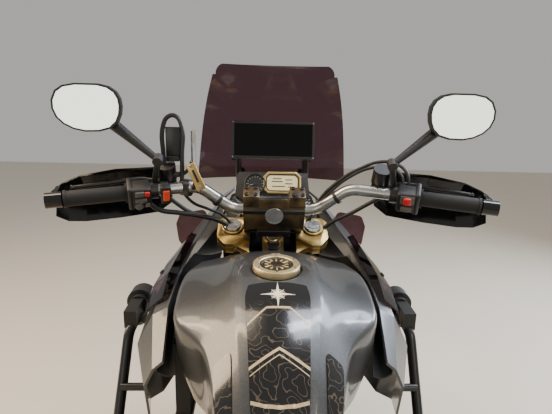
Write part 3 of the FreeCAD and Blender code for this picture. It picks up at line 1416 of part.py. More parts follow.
doc.recompute()
os.makedirs("parts", exist_ok=True)
tools = ("front_disc",)
for item in doc.Objects:
    if not hasattr(item, "Shape") or item.Label in tools or item.getParentGeoFeatureGroup() is not None:
        continue
    if item.TypeId in ("Part::Mirroring", "Sketcher::SketchObject", "App::Plane", "App::Line",
                       "App::Point"):
        continue
    bad = [state for state in item.State if state in ("Invalid", "Error")]
    if bad or item.Shape.isNull() or not item.Shape.isValid():
        raise RuntimeError(f"{item.Label} didn't build: {item.State}, valid {item.Shape.isValid()}")
    item.Shape.exportStep(f"parts/{item.Label}.step")
    box = item.Shape.BoundBox
    print(f"{item.Label}: {len(item.Shape.Solids)} solids, x {box.XMin:.0f}..{box.XMax:.0f}, "
          f"y {box.YMin:.0f}..{box.YMax:.0f}, z {box.ZMin:.0f}..{box.ZMax:.0f}")
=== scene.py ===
import json
import math

import bpy
from mathutils import Matrix, Vector

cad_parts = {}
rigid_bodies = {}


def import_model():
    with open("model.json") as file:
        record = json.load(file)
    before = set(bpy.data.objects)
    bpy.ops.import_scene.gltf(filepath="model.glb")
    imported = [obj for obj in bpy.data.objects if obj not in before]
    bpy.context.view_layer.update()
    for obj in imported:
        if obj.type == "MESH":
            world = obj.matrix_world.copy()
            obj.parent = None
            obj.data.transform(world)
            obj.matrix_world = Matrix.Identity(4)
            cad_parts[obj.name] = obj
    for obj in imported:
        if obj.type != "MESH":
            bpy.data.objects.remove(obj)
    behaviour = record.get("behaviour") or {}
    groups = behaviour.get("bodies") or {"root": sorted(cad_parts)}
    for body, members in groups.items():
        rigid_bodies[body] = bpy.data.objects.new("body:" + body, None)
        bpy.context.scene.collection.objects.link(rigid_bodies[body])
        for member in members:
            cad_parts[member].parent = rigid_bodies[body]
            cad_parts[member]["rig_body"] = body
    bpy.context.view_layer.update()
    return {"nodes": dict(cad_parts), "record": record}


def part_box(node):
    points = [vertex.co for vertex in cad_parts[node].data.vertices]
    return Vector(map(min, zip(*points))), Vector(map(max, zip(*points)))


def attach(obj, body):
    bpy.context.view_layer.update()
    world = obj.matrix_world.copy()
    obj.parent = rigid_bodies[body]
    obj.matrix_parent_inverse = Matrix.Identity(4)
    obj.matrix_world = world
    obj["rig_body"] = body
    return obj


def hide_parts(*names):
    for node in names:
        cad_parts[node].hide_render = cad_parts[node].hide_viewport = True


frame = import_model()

nodes = frame["nodes"]
materials = {}


# camera at the rider's eyes, fitted to the fork caps, bar ends, mirrors, screen and filler cap
cameraPlan = {"place": (-0.0355, -0.6906, 1.380), "pitch": 14.08, "yaw": 2.2, "roll": 1.55,
              "focalPixels": 450, "pictureWidth": 552, "sensor": 36, "near": 0.02}


def makeCamera(plan):
    pitch, yaw, roll = (math.radians(plan[key]) for key in ("pitch", "yaw", "roll"))
    forward = Vector((math.sin(yaw) * math.cos(pitch), math.cos(yaw) * math.cos(pitch), -math.sin(pitch)))
    level = Vector((math.cos(yaw), -math.sin(yaw), 0))
    upright = level.cross(forward)
    right = level * math.cos(roll) + upright * math.sin(roll)
    up = upright * math.cos(roll) - level * math.sin(roll)
    data = bpy.data.cameras.new("riderView")
    data.lens = plan["focalPixels"] / plan["pictureWidth"] * plan["sensor"]
    data.sensor_width = plan["sensor"]
    data.clip_start = plan["near"]
    camera = bpy.data.objects.new("riderView", data)
    turn = Matrix((right, up, -forward)).transposed().to_4x4()
    camera.matrix_world = Matrix.Translation(plan["place"]) @ turn
    bpy.context.scene.collection.objects.link(camera)
    bpy.context.scene.camera = camera


makeCamera(cameraPlan)


def linear(hexColour, alpha=1.0):
    channels = [int(hexColour[i:i + 2], 16) / 255 for i in (1, 3, 5)]
    return tuple(c / 12.92 if c <= 0.04045 else ((c + 0.055) / 1.055) ** 2.4 for c in channels) + (alpha,)


def wire(tree, shader, socket, source):
    output = source if isinstance(source, bpy.types.NodeSocket) else source.outputs[0]
    tree.links.new(output, shader.inputs[socket])


def add(tree, kind, settings=None, links=None):
    # a new shader node: settings are its properties or unlinked sockets, links feed its other sockets
    made = tree.nodes.new("ShaderNode" + kind)
    for key, value in (settings or {}).items():
        if isinstance(key, str) and hasattr(made, key):
            setattr(made, key, value)
        else:
            made.inputs[key].default_value = value
    for key, source in (links or {}).items():
        wire(tree, made, key, source)
    return made


def newMaterial(name, settings):
    # the shader with its fixed values, its output, and the piece's own coordinates in metres
    material = bpy.data.materials.new(name)
    material.use_nodes = True
    tree = material.node_tree
    tree.nodes.clear()
    shader = add(tree, "BsdfPrincipled", settings)
    add(tree, "OutputMaterial", None, {"Surface": shader})
    coords = add(tree, "TexCoord").outputs["Object"]
    return material, tree, shader, coords


# lights and floor
studio = {"world": "#e4e2de", "worldPower": 0.6, "floor": "#dccfb8",
          "lamps": [("overheadLeft", (-1.35, 0.7, 3.3), (-0.1, 0.3, 0.8), (0.8, 2.0), 42, "#ffe9cc"),
                    ("overheadRight", (1.35, 0.7, 3.3), (0.1, 0.3, 0.8), (0.8, 2.0), 55, "#eef4ff"),
                    ("windowRight", (3.0, 2.0, 2.2), (0, 0.2, 0.9), (1.2, 2.2), 120, "#e6f0ff"),
                    ("windowLeft", (-3.0, 0.8, 2.3), (0, 0.2, 0.9), (1.0, 1.8), 70, "#ffe2bd"),
                    ("stripRight", (1.05, 0.5, 2.5), (0.1, 0.1, 1.0), (0.16, 1.9), 20, "#eaf2ff"),
                    ("stripLeft", (-1.1, 0.3, 2.4), (-0.1, 0.1, 1.0), (0.14, 1.6), 12, "#ffdcae"),
                    ("rear", (2.2, -2.6, 3.2), (0, 0, 0.7), (1.6, 1.0), 38, "#fff1dd"),
                    ("rearLeft", (-1.9, -3.1, 1.5), (-0.4, 0.3, 1.3), (1.7, 1.1), 15, "#eef0dc"),
                    ("rearRight", (1.9, -3.1, 1.5), (0.4, 0.3, 1.3), (1.7, 1.1), 15, "#e9ecd2")]}


def makeStudio(plan):
    world = bpy.data.worlds.new("studio")
    world.use_nodes = True
    bpy.context.scene.world = world
    background = world.node_tree.nodes["Background"]
    background.inputs["Color"].default_value = linear(plan["world"])
    background.inputs["Strength"].default_value = plan["worldPower"]
    for name, place, target, panel, power, colour in plan["lamps"]:
        data = bpy.data.lights.new(name, "AREA")
        data.shape = "RECTANGLE"
        data.size, data.size_y = panel
        data.energy = power
        data.color = linear(colour)[:3]
        lamp = bpy.data.objects.new(name, data)
        lamp.location = place
        lamp.visible_camera = False
        lamp.rotation_euler = (Vector(target) - Vector(place)).to_track_quat("-Z", "Y").to_euler()
        bpy.context.scene.collection.objects.link(lamp)
    bpy.ops.object.select_all(action="DESELECT")
    bpy.ops.mesh.primitive_plane_add(size=16, location=(0, 0, 0))
    floor = bpy.context.object
    floor.name = "floor"
    concrete, tree, shader, coords = newMaterial("sealedConcrete", {"Roughness": 0.55, "IOR": 1.5})
    clouds = add(tree, "TexNoise", {"Scale": 2.5, "Detail": 5}, {"Vector": coords})
    tone = add(tree, "Mix", {"data_type": "RGBA", 6: linear(plan["floor"]), 7: linear("#cfcac0")},
               {0: clouds.outputs["Fac"]})
    wire(tree, shader, "Base Color", tone.outputs[2])
    floor.data.materials.append(concrete)


makeStudio(studio)
print("stage: camera, lights and floor")


# materials of the frame's own pieces
def powderCoat(name, colour, roughness):
    # epoxy powder coat on steel: even satin black with a faint orange peel, 1.5 mm across
    material, tree, shader, coords = newMaterial(name, {"Base Color": linear(colour), "IOR": 1.52,
                                                        "Coat Weight": 0.15, "Coat Roughness": 0.2})
    peel = add(tree, "TexNoise", {"Scale": 650, "Detail": 2}, {"Vector": coords})
    relief = add(tree, "Bump", {"Strength": 0.12, "Distance": 0.0004}, {"Height": peel.outputs["Fac"]})
    dust = add(tree, "TexNoise", {"Scale": 14, "Detail": 6}, {"Vector": coords})
    gloss = add(tree, "MapRange", {"From Min": 0.3, "From Max": 0.7, "To Min": roughness - 0.05,
                                   "To Max": roughness + 0.1}, {"Value": dust.outputs["Fac"]})
    wire(tree, shader, "Roughness", gloss)
    wire(tree, shader, "Normal", relief)
    return material


def mouldedPlastic(name, colour, roughness, grain, depth):
    # injection-moulded ABS or nylon with the mould's leather-like grain, about a millimetre across
    material, tree, shader, coords = newMaterial(name, {"IOR": 1.53})
    cells = add(tree, "TexVoronoi", {"Scale": 1 / grain, "Randomness": 0.9}, {"Vector": coords})
    relief = add(tree, "Bump", {"Strength": depth, "Distance": 0.0003}, {"Height": cells.outputs["Distance"]})
    fade = add(tree, "TexNoise", {"Scale": 9, "Detail": 5}, {"Vector": coords})
    share = add(tree, "MapRange", {"From Min": 0.45, "From Max": 0.8, "To Max": 0.35},
                {"Value": fade.outputs["Fac"]})
    tone = add(tree, "Mix", {"data_type": "RGBA", 6: linear(colour), 7: linear("#2a2a2b")}, {0: share})
    gloss = add(tree, "MapRange", {"To Min": roughness - 0.06, "To Max": roughness + 0.06},
                {"Value": fade.outputs["Fac"]})
    wire(tree, shader, "Base Color", tone.outputs[2])
    wire(tree, shader, "Roughness", gloss)
    wire(tree, shader, "Normal", relief)
    return material


def castAluminium(name, colour, roughness):
    # die-cast aluminium with a baked grey coat: sand-fine texture, dust in the low places
    material, tree, shader, coords = newMaterial(name, {"Metallic": 0.75})
    sand = add(tree, "TexNoise", {"Scale": 900, "Detail": 3}, {"Vector": coords})
    relief = add(tree, "Bump", {"Strength": 0.35, "Distance": 0.0004}, {"Height": sand.outputs["Fac"]})
    stain = add(tree, "TexNoise", {"Scale": 22, "Detail": 6}, {"Vector": coords})
    share = add(tree, "MapRange", {"From Min": 0.5, "From Max": 0.75, "To Max": 0.35},
                {"Value": stain.outputs["Fac"]})
    tone = add(tree, "Mix", {"data_type": "RGBA", 6: linear(colour), 7: linear("#77736b")}, {0: share})
    wire(tree, shader, "Base Color", tone.outputs[2])
    gloss = {"To Min": roughness - 0.08, "To Max": roughness + 0.1}
    wire(tree, shader, "Roughness", add(tree, "MapRange", gloss, {"Value": stain.outputs["Fac"]}))
    wire(tree, shader, "Normal", relief)
    return material


def brushedMetal(name, colour, roughness, along, scratch=0.0004):
    # brushed or drawn metal: fine scratches that run along one axis, 0.4 mm apart
    material, tree, shader, coords = newMaterial(name, {"Metallic": 1.0, "Base Color": linear(colour)})
    stretch = [0.02 if axis == along else 1.0 for axis in "XYZ"]
    drawn = add(tree, "Mapping", {"Scale": stretch}, {"Vector": coords})
    lines = add(tree, "TexNoise", {"Scale": 1 / scratch, "Detail": 3}, {"Vector": drawn})
    cloud = add(tree, "TexNoise", {"Scale": 18, "Detail": 4}, {"Vector": coords})
    mixed = add(tree, "Math", {"operation": "ADD"}, {0: lines.outputs["Fac"], 1: cloud.outputs["Fac"]})
    gloss = {"From Min": 0.7, "From Max": 1.3, "To Min": roughness - 0.07, "To Max": roughness + 0.1}
    wire(tree, shader, "Roughness", add(tree, "MapRange", gloss, {"Value": mixed}))
    wire(tree, shader, "Normal", add(tree, "Bump", {"Strength": 0.12, "Distance": 0.0002},
                                     {"Height": lines.outputs["Fac"]}))
    return material


def metallicPaint(name):
    # grey metallic lacquer: aluminium flakes under a glossy clear coat, seen 1.2 mm coarse
    material, tree, shader, coords = newMaterial(name, {"Metallic": 0.65, "Coat Weight": 0.7,
                                                        "Coat Roughness": 0.09, "Coat IOR": 1.5})
    flakes = add(tree, "TexVoronoi", {"Scale": 1 / 0.0012}, {"Vector": coords})
    sparkle = add(tree, "SeparateColor", None, {"Color": flakes.outputs["Color"]})
    share = add(tree, "MapRange", {"From Min": 0.3, "From Max": 1.0, "To Max": 0.45}, {"Value": sparkle})
    tone = add(tree, "Mix", {"data_type": "RGBA", 6: linear("#4a4b4c"), 7: linear("#67696b")}, {0: share})
    wire(tree, shader, "Base Color", tone.outputs[2])
    haze = add(tree, "TexNoise", {"Scale": 7, "Detail": 4}, {"Vector": coords})
    wire(tree, shader, "Roughness", add(tree, "MapRange", {"To Min": 0.36, "To Max": 0.46},
                                        {"Value": haze.outputs["Fac"]}))
    return material


def glossPlastic(name, colour):
    # polished black ABS with light wiping marks
    material, tree, shader, coords = newMaterial(name, {"Base Color": linear(colour), "IOR": 1.53})
    wipe = add(tree, "Mapping", {"Scale": (1, 6, 3)}, {"Vector": coords})
    marks = add(tree, "TexNoise", {"Scale": 30, "Detail": 6}, {"Vector": wipe})
    gloss = {"From Min": 0.35, "From Max": 0.7, "To Min": 0.08, "To Max": 0.2}
    wire(tree, shader, "Roughness", add(tree, "MapRange", gloss, {"Value": marks.outputs["Fac"]}))
    return material


def clearSheet(name, colour, ior, roughness):
    # tinted transparent sheet: the tint is the light that one thickness lets through
    material, tree, shader, coords = newMaterial(name, {"Base Color": linear(colour), "IOR": ior,
                                                        "Transmission Weight": 1.0})
    dust = add(tree, "TexNoise", {"Scale": 25, "Detail": 8}, {"Vector": coords})
    gloss = {"From Min": 0.4, "From Max": 0.75, "To Min": roughness, "To Max": roughness + 0.08}
    wire(tree, shader, "Roughness", add(tree, "MapRange", gloss, {"Value": dust.outputs["Fac"]}))
    return material


def rubber(name, colour, roughness, ribs=0.0):
    # moulded rubber: matte, with grip ribs around the bar where they are asked for
    material, tree, shader, coords = newMaterial(name, {"Base Color": linear(colour), "IOR": 1.52})
    skin = add(tree, "TexNoise", {"Scale": 420, "Detail": 3}, {"Vector": coords})
    height = skin.outputs["Fac"]
    if ribs:
        # one wave every ribs metres
        rings = add(tree, "TexWave", {"Scale": 0.314 / ribs, "bands_direction": "X"}, {"Vector": coords})
        height = add(tree, "Math", {"operation": "ADD"}, {0: rings.outputs["Fac"], 1: height}).outputs[0]
    wire(tree, shader, "Normal", add(tree, "Bump", {"Strength": 0.4, "Distance": 0.0008}, {"Height": height}))
    dust = add(tree, "TexNoise", {"Scale": 18, "Detail": 6}, {"Vector": coords})
    gloss = {"To Min": roughness - 0.1, "To Max": roughness + 0.1}
    wire(tree, shader, "Roughness", add(tree, "MapRange", gloss, {"Value": dust.outputs["Fac"]}))
    return material


def seatVinyl(name):
    # pebble-grained black vinyl over foam, grains 1.8 mm across, worn smoother on the high spots
    material, tree, shader, coords = newMaterial(name, {"Base Color": linear("#1b1b1c"), "IOR": 1.53,
                                                        "Sheen Weight": 0.08, "Sheen Roughness": 0.5})
    pebbles = add(tree, "TexVoronoi", {"Scale": 1 / 0.0018, "feature": "SMOOTH_F1"}, {"Vector": coords})
    wire(tree, shader, "Normal", add(tree, "Bump", {"Strength": 0.35, "Distance": 0.0006},
                                     {"Height": pebbles.outputs["Distance"]}))
    worn = add(tree, "TexNoise", {"Scale": 6, "Detail": 5}, {"Vector": coords})
    wire(tree, shader, "Roughness", add(tree, "MapRange", {"To Min": 0.38, "To Max": 0.62},
                                        {"Value": worn.outputs["Fac"]}))
    return material


def mirrorSilver(name):
    # silvered glass: a clean metal reflection
    return newMaterial(name, {"Metallic": 1.0, "Base Color": linear("#e6e8ea"), "Roughness": 0.02})[0]


def heatTintedSteel(name):
    # stainless headers: straw to brown oxide where they run hottest, near the engine
    material, tree, shader, coords = newMaterial(name, {"Metallic": 1.0})
    place = add(tree, "SeparateXYZ", None, {"Vector": coords})
    heat = add(tree, "MapRange", {"From Min": -0.1, "From Max": 0.45}, {"Value": place.outputs["Y"]})
    smudge = add(tree, "TexNoise", {"Scale": 16, "Detail": 6}, {"Vector": coords})
    blend = add(tree, "Math", {"operation": "MULTIPLY"}, {0: heat, 1: smudge.outputs["Fac"]})
    tone = add(tree, "Mix", {"data_type": "RGBA", 6: linear("#b3aea6"), 7: linear("#7a5f45")}, {0: blend})
    wire(tree, shader, "Base Color", tone.outputs[2])
    wire(tree, shader, "Roughness", add(tree, "MapRange", {"To Min": 0.2, "To Max": 0.42},
                                        {"Value": smudge.outputs["Fac"]}))
    return material


def slotMaterials():
    materials["frame_paint"] = powderCoat("powderCoatFrame", "#151517", 0.38)
    materials["bar_paint"] = powderCoat("powderCoatBars", "#101011", 0.33)
    materials["fork_tube"] = powderCoat("anodisedForkBlack", "#141415", 0.25)
    materials["engine_casting"] = castAluminium("coatedCasting", "#3f4042", 0.45)
    materials["plate_aluminium"] = brushedMetal("anodisedAluminium", "#bdbcb8", 0.26, "X")
    materials["exhaust_steel"] = heatTintedSteel("stainlessHeader")
    materials["silencer_steel"] = brushedMetal("satinStainless", "#a9a8a5", 0.3, "Y")
    materials["black_plastic"] = mouldedPlastic("grainedAbs", "#131314", 0.5, 0.0011, 0.3)
    materials["gloss_guard"] = glossPlastic("polishedAbs", "#0d0d0e")
    materials["tank_paint"] = metallicPaint("metallicLacquer")
    materials["pad_rubber"] = glossPlastic("gelPad", "#0c0c0d")
    materials["smoked_screen"] = clearSheet("smokedAcrylic", "#654b52", 1.49, 0.02)
    materials["lamp_glass"] = clearSheet("clearPolycarbonate", "#f0f3f4", 1.58, 0.02)
    materials["seat_cover"] = seatVinyl("seatVinyl")
    materials["red_lens"] = clearSheet("redAcrylic", "#a01010", 1.49, 0.06)
    materials["amber_lens"] = clearSheet("amberAcrylic", "#e07a12", 1.49, 0.06)
    materials["gold_anodised"] = brushedMetal("goldAnodised", "#c4ab6e", 0.34, "X")
    materials["grip_rubber"] = rubber("gripRubber", "#161617", 0.75)
    materials["tyre_rubber"] = rubber("treadRubber", "#191919", 0.8)
    materials["mirror_face"] = mirrorSilver("silveredGlass")
    materials["wheel_aluminium"] = brushedMetal("anodisedRim", "#8f9092", 0.28, "X")
    materials["disc_steel"] = brushedMetal("groundSteel", "#a6a5a2", 0.25, "X")
    materials["cap_metal"] = brushedMetal("machinedCap", "#e8d7ab", 0.42, "X")


slotMaterials()
slotOf = {entry["node"]: entry["material_slot"] for entry in frame["record"]["subparts"]}
for name, node in nodes.items():
    if not node.material_slots:
        node.data.materials.append(None)
    for materialSlot in node.material_slots:
        materialSlot.material = materials[slotOf[name]]
print("stage: finishes on", len(nodes), "nodes")


def startPiece():
    if bpy.context.object and bpy.context.object.mode != "OBJECT":
        bpy.ops.object.mode_set(mode="OBJECT")
    bpy.ops.object.select_all(action="DESELECT")


def pick(piece):
    # this piece alone is selected and active
    startPiece()
    piece.select_set(True)
    bpy.context.view_layer.objects.active = piece
    return piece


def editAll(piece):
    pick(piece)
    bpy.ops.object.mode_set(mode="EDIT")
    bpy.ops.mesh.select_all(action="SELECT")


def faceOutwards(piece):
    editAll(piece)
    bpy.ops.mesh.normals_make_consistent(inside=False)
    bpy.ops.object.mode_set(mode="OBJECT")


def applyAll(piece):
    bpy.context.view_layer.objects.active = piece
    for modifier in list(piece.modifiers):
        bpy.ops.object.modifier_apply(modifier=modifier.name)


def finishPiece(piece, name, finish, body, angle=35):
    # its place goes into the mesh, doubles go, faces point outwards, and it rides on its body
    pick(piece)
    bpy.context.view_layer.update()
    piece.data.transform(piece.matrix_world)
    piece.matrix_world = Matrix()
    editAll(piece)
    bpy.ops.mesh.remove_doubles(threshold=0.00002)
    faceOutwards(piece)
    bpy.ops.object.shade_smooth_by_angle(angle=math.radians(angle))
    piece.name = name
    piece.data.name = name
    piece.data.materials.clear()
    piece.data.materials.append(materials[finish])
    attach(piece, body)
    return piece


def joinPieces(parts):
    startPiece()
    for part in parts:
        part.select_set(True)
    bpy.context.view_layer.objects.active = parts[0]
    if len(parts) > 1:
        bpy.ops.object.join()
    return parts[0]


def bevelled(piece, width, segments=2, angle=30):
    modifier = piece.modifiers.new("edges", "BEVEL")
    modifier.width = width
    modifier.segments = segments
    modifier.limit_method = "ANGLE"
    modifier.angle_limit = math.radians(angle)
    applyAll(piece)
    return piece


def walled(piece, thickness, offset=0):
    # gives a sheet its thickness, to both sides or outwards
    wall = piece.modifiers.new("wall", "SOLIDIFY")
    wall.thickness = thickness
    wall.offset = offset
    applyAll(piece)
    return piece


def shifted(place, x, y, z):
    return place @ Matrix.Translation((x, y, z))


def rotated(place, degrees, axis):
    return place @ Matrix.Rotation(math.radians(degrees), 4, axis)


def roundedBox(size, width, place):
    # a box of its real size whose edges are rounded over, at a point or in a frame of its own
    startPiece()
    bpy.ops.mesh.primitive_cube_add(size=1, location=(0, 0, 0))
    piece = bpy.context.object
    piece.data.transform(Matrix.Diagonal((*size, 1)))
    bevelled(piece, width, 3)
    piece.matrix_world = place if isinstance(place, Matrix) else Matrix.Translation(place)
    return piece


def turned(profile, steps=32, place=None, closed=True):
    # a turned piece: a ring that is extruded and resized along a profile of (radius, height)
    startPiece()
    radius, height = profile[0]
    bpy.ops.mesh.primitive_circle_add(vertices=steps, radius=radius, location=(0, 0, height))
    piece = bpy.context.object
    bpy.ops.object.mode_set(mode="EDIT")
    for nextRadius, nextHeight in profile[1:]:
        bpy.ops.mesh.extrude_edges_move(TRANSFORM_OT_translate={"value": (0, 0, nextHeight - height)})
        factor = nextRadius / radius
        bpy.ops.transform.resize(value=(factor, factor, 1), center_override=(0, 0, nextHeight))
        radius, height = nextRadius, nextHeight
    bpy.ops.mesh.edge_face_add()
    if closed:
        bpy.ops.mesh.select_all(action="DESELECT")
        bpy.ops.mesh.select_non_manifold()
        bpy.ops.mesh.edge_face_add()
    bpy.ops.object.mode_set(mode="OBJECT")
    bpy.context.view_layer.update()
    if place is not None:
        piece.matrix_world = place @ piece.matrix_world
    return piece


def flatFace(outline):
    # one face along an outline of (x, y), left in edit mode with all of it selected
    startPiece()
    bpy.ops.mesh.primitive_circle_add(vertices=len(outline), radius=1, fill_type="NGON")
    piece = bpy.context.object
    for vertex, (x, y) in zip(piece.data.vertices, outline):
        vertex.co = (x, y, 0)
    bpy.ops.object.mode_set(mode="EDIT")
    bpy.ops.mesh.select_all(action="SELECT")
    return piece


def plate(outline, thickness, width, place):
    # a flat plate: its face is extruded upwards and bevelled
    piece = flatFace(outline)
    bpy.ops.mesh.extrude_region_move(TRANSFORM_OT_translate={"value": (0, 0, thickness)})
    bpy.ops.object.mode_set(mode="OBJECT")
    if width:
        bevelled(piece, width, 2)
    piece.matrix_world = place
    return piece


def framed(outline, inset, thickness, place):
    # a flat ring: its face is inset and deleted, then it gets its wall
    ring = flatFace(outline)
    bpy.ops.mesh.inset(thickness=inset)
    bpy.ops.mesh.delete(type="FACE")
    bpy.ops.object.mode_set(mode="OBJECT")
    walled(ring, thickness, 1)
    bevelled(ring, thickness * 0.3, 2, 40)
    ring.matrix_world = place
    return ring


def hose(points, radius):
    # a tube along a smooth line through its points
    startPiece()
    data = bpy.data.curves.new("hose", "CURVE")
    data.dimensions = "3D"
    data.bevel_depth = radius
    data.bevel_resolution = 3
    data.resolution_u = 8
    data.use_fill_caps = True
    spline = data.splines.new("BEZIER")
    spline.bezier_points.add(len(points) - 1)
    for bend, point in zip(spline.bezier_points, points):
        bend.co = point
        bend.handle_left_type = bend.handle_right_type = "AUTO"
    piece = bpy.data.objects.new("hose", data)
    bpy.context.scene.collection.objects.link(piece)
    pick(piece)
    bpy.ops.object.convert(target="MESH")
    return bpy.context.object


def skin(rows, caps=False):
    # a grid primitive whose rows are moved onto a body's cross-sections, closed at both ends if asked
    startPiece()
    across = len(rows[0])
    bpy.ops.mesh.primitive_grid_add(x_subdivisions=across - 1, y_subdivisions=len(rows) - 1, size=1)
    piece = bpy.context.object
    for index, vertex in enumerate(piece.data.vertices):
        vertex.co = rows[index // across][index % across]
    if caps:
        editAll(piece)
        bpy.ops.mesh.remove_doubles(threshold=0.00002)
        bpy.ops.mesh.select_all(action="DESELECT")
        bpy.ops.mesh.select_non_manifold()
        bpy.ops.mesh.edge_face_add()
        bpy.ops.object.mode_set(mode="OBJECT")
    return piece


def frameCopy(nodeName, merged=True, flatAngle=0):
    # a copy of a frame piece without its marks, its loose triangles merged and its flat faces made whole
    pick(nodes[nodeName])
    bpy.ops.object.duplicate()
    piece = bpy.context.object
    piece.parent = None
    piece.data = piece.data.copy()
    for key in list(piece.keys()):
        del piece[key]
    if merged:
        editAll(piece)
        bpy.ops.mesh.remove_doubles(threshold=0.00003)
        bpy.ops.mesh.customdata_custom_splitnormals_clear()
        if flatAngle:
            bpy.ops.mesh.dissolve_limited(angle_limit=math.radians(flatAngle))
        bpy.ops.object.mode_set(mode="OBJECT")
    return piece


def softened(nodeName, width):
    # a copy of a frame piece with its edges rounded over
    piece = bevelled(frameCopy(nodeName, flatAngle=1), width, 2, 28)
    finishPiece(piece, nodeName + "_shell", slotOf[nodeName], nodes[nodeName]["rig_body"])
    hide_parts(nodeName)
    return piece


# radius and height of the head of each kind of screw
screwSizes = {"cap_screws": (0.0030, 0.0018), "clamp_bolts": (0.0048, 0.0035),
              "yoke_pinch_bolts": (0.0055, 0.005), "pod_screws_left": (0.0032, 0.0015),
              "pod_screws_right": (0.0032, 0.0015), "nav_screws": (0.0020, 0.0010),
              "plate_screws": (0.0036, 0.002), "cowl_bolts": (0.0062, 0.003), "screen_bolts": (0.0075, 0.004),
              "engine_screws": (0.0058, 0.005), "skid_bolts": (0.0065, 0.004),
              "front_disc_bolts": (0.0055, 0.004), "rack_screws": (0.0055, 0.0035)}


def bolts(name, places, finish, body):
    # socket-head screws: each a chamfered head with a sunk hexagon; what isn't a place is skipped
    radius, height = screwSizes[name]
    head = [(radius, 0), (radius, height * 0.8), (radius * 0.9, height), (radius * 0.62, height),
            (radius * 0.5, height * 0.45)]
    heads = [turned(head, 18, place) for place in places if place]
    return finishPiece(joinPieces(heads), name, finish, body, angle=25)


def aim(point, direction):
    # a place at a point whose Z axis looks along a direction
    return Matrix.Translation(point) @ Vector(direction).to_track_quat("Z", "Y").to_matrix().to_4x4()


# the steering frame, where the fork and bars are straight up
steeringFoot = Vector((0, 0.922, 0))
steeringPlace = rotated(Matrix.Translation(steeringFoot), 28, "X")


def steered(x, y, z):
    return shifted(steeringPlace, x, y, z)


def sided(point, side):
    # a point or direction that is given for the right side, on the side asked for
    return Vector((side * point[0], point[1], point[2]))


def mirroredX(points):
    return [sided(point, -1) for point in points]


def mm(x, y, z):
    return Vector((x, y, z)) / 1000


# the tank: cross-sections along it, smoothed lengthways, with rounded ridges
tankPlan = {  # y: top, spine half, dish, half width, ridge height, low edge, low half width
    "rows": [(296, 1030, 66, 0, 174, 996, 872, 139), (220, 1050, 76, 6, 196, 998, 842, 158),
             (128, 1056, 76, 12, 198, 988, 812, 166), (62, 1045, 74, 10, 186, 976, 806, 154),
             (-6, 1022, 68, 0, 131, 958, 814, 119), (-92, 974, 58, 0, 103, 928, 812, 95),
             (-146, 928, 50, 0, 91, 894, 820, 83)],
    "stations": 64, "capPlace": (0, 0.128, 1.057), "capTilt": 3, "seat": 0.0512, "seatDepth": 0.013,
    "neck": 0.030, "neckDepth": 0.046,
    "spar": [(20, 424, 905), (98, 330, 858), (104, 215, 830), (105, 100, 806), (105, -92, 770),
             (126, -150, 660)],
    "sparRoom": 0.026}   # the frame's spars run in channels of this radius
capPlace = rotated(Matrix.Translation(tankPlan["capPlace"]), tankPlan["capTilt"], "X")


def between(rows, t):
    # smooth value of each column at t, from 0 at the first row to 1 at the last
    place = min(max(t, 0.0), 0.99999) * (len(rows) - 1)
    index = int(place)
    f = place - index
    a, b, c, d = (rows[min(max(index + step, 0), len(rows) - 1)] for step in (-1, 0, 1, 2))
    return [0.5 * (2 * q + (r - p) * f + (2 * p - 5 * q + 4 * r - s) * f * f +
                   (3 * q - p - 3 * r + s) * f ** 3) for p, q, r, s in zip(a, b, c, d)]


def roundedLine(points, share, steps):
    # the closed outline with each corner turned over a share of its shorter side
    line, shares = [], [k / steps for k in range(steps + 1)]
    for index, (corner, part) in enumerate(zip(points, share)):
        before, after = points[index - 1], points[(index + 1) % len(points)]
        start, end = corner.lerp(before, part), corner.lerp(after, part)
        line += [start.lerp(corner, s).lerp(corner.lerp(end, s), s) for s in shares]
    return line


def tankOutline(values):
    y, top, spine, dish, half, ridge, low, lowHalf = (value / 1000 for value in values)
    crown = top - 0.007
    side = [Vector((lowHalf, y, low)), Vector((half - 0.005, y, (ridge + low) / 2)), Vector((half, y, ridge)),
            Vector(((spine + half) / 2, y, (crown + ridge) / 2 - dish)), Vector((spine, y, crown))]
    shares = [0.12, 0.3, 0.2, 0.42, 0.2]
    points = side + [Vector((0, y, top))] + mirroredX(side[::-1])
    return roundedLine(points, shares + [0.46] + shares[::-1], 6)


def makeTankShell(plan):
    stations = plan["stations"]
    rows = [tankOutline(between(plan["rows"], step / stations)) for step in range(stations + 1)]
    tank = skin([row + row[:1] for row in rows], caps=True)
    recess = [(plan["neck"], -plan["neckDepth"]), (plan["neck"], -plan["seatDepth"]),
              (plan["seat"], -plan["seatDepth"]), (plan["seat"], 0.05)]
    spar = [mm(*point) for point in plan["spar"]]
    cutters = [turned(recess, 72, capPlace)]
    cutters += [hose(line, plan["sparRoom"]) for line in (spar, mirroredX(spar))]
    for cutter in cutters:
        faceOutwards(cutter)
        cut = tank.modifiers.new("cut", "BOOLEAN")
        cut.operation = "DIFFERENCE"
        cut.object = cutter
    faceOutwards(tank)
    applyAll(tank)
    for cutter in cutters:
        bpy.data.objects.remove(cutter)
    finishPiece(tank, "tank_shell", "tank_paint", "chassis", angle=32)
    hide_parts("fuel_tank", "filler_flange")
    return tank


tankShell = makeTankShell(tankPlan)
print("stage: tank")


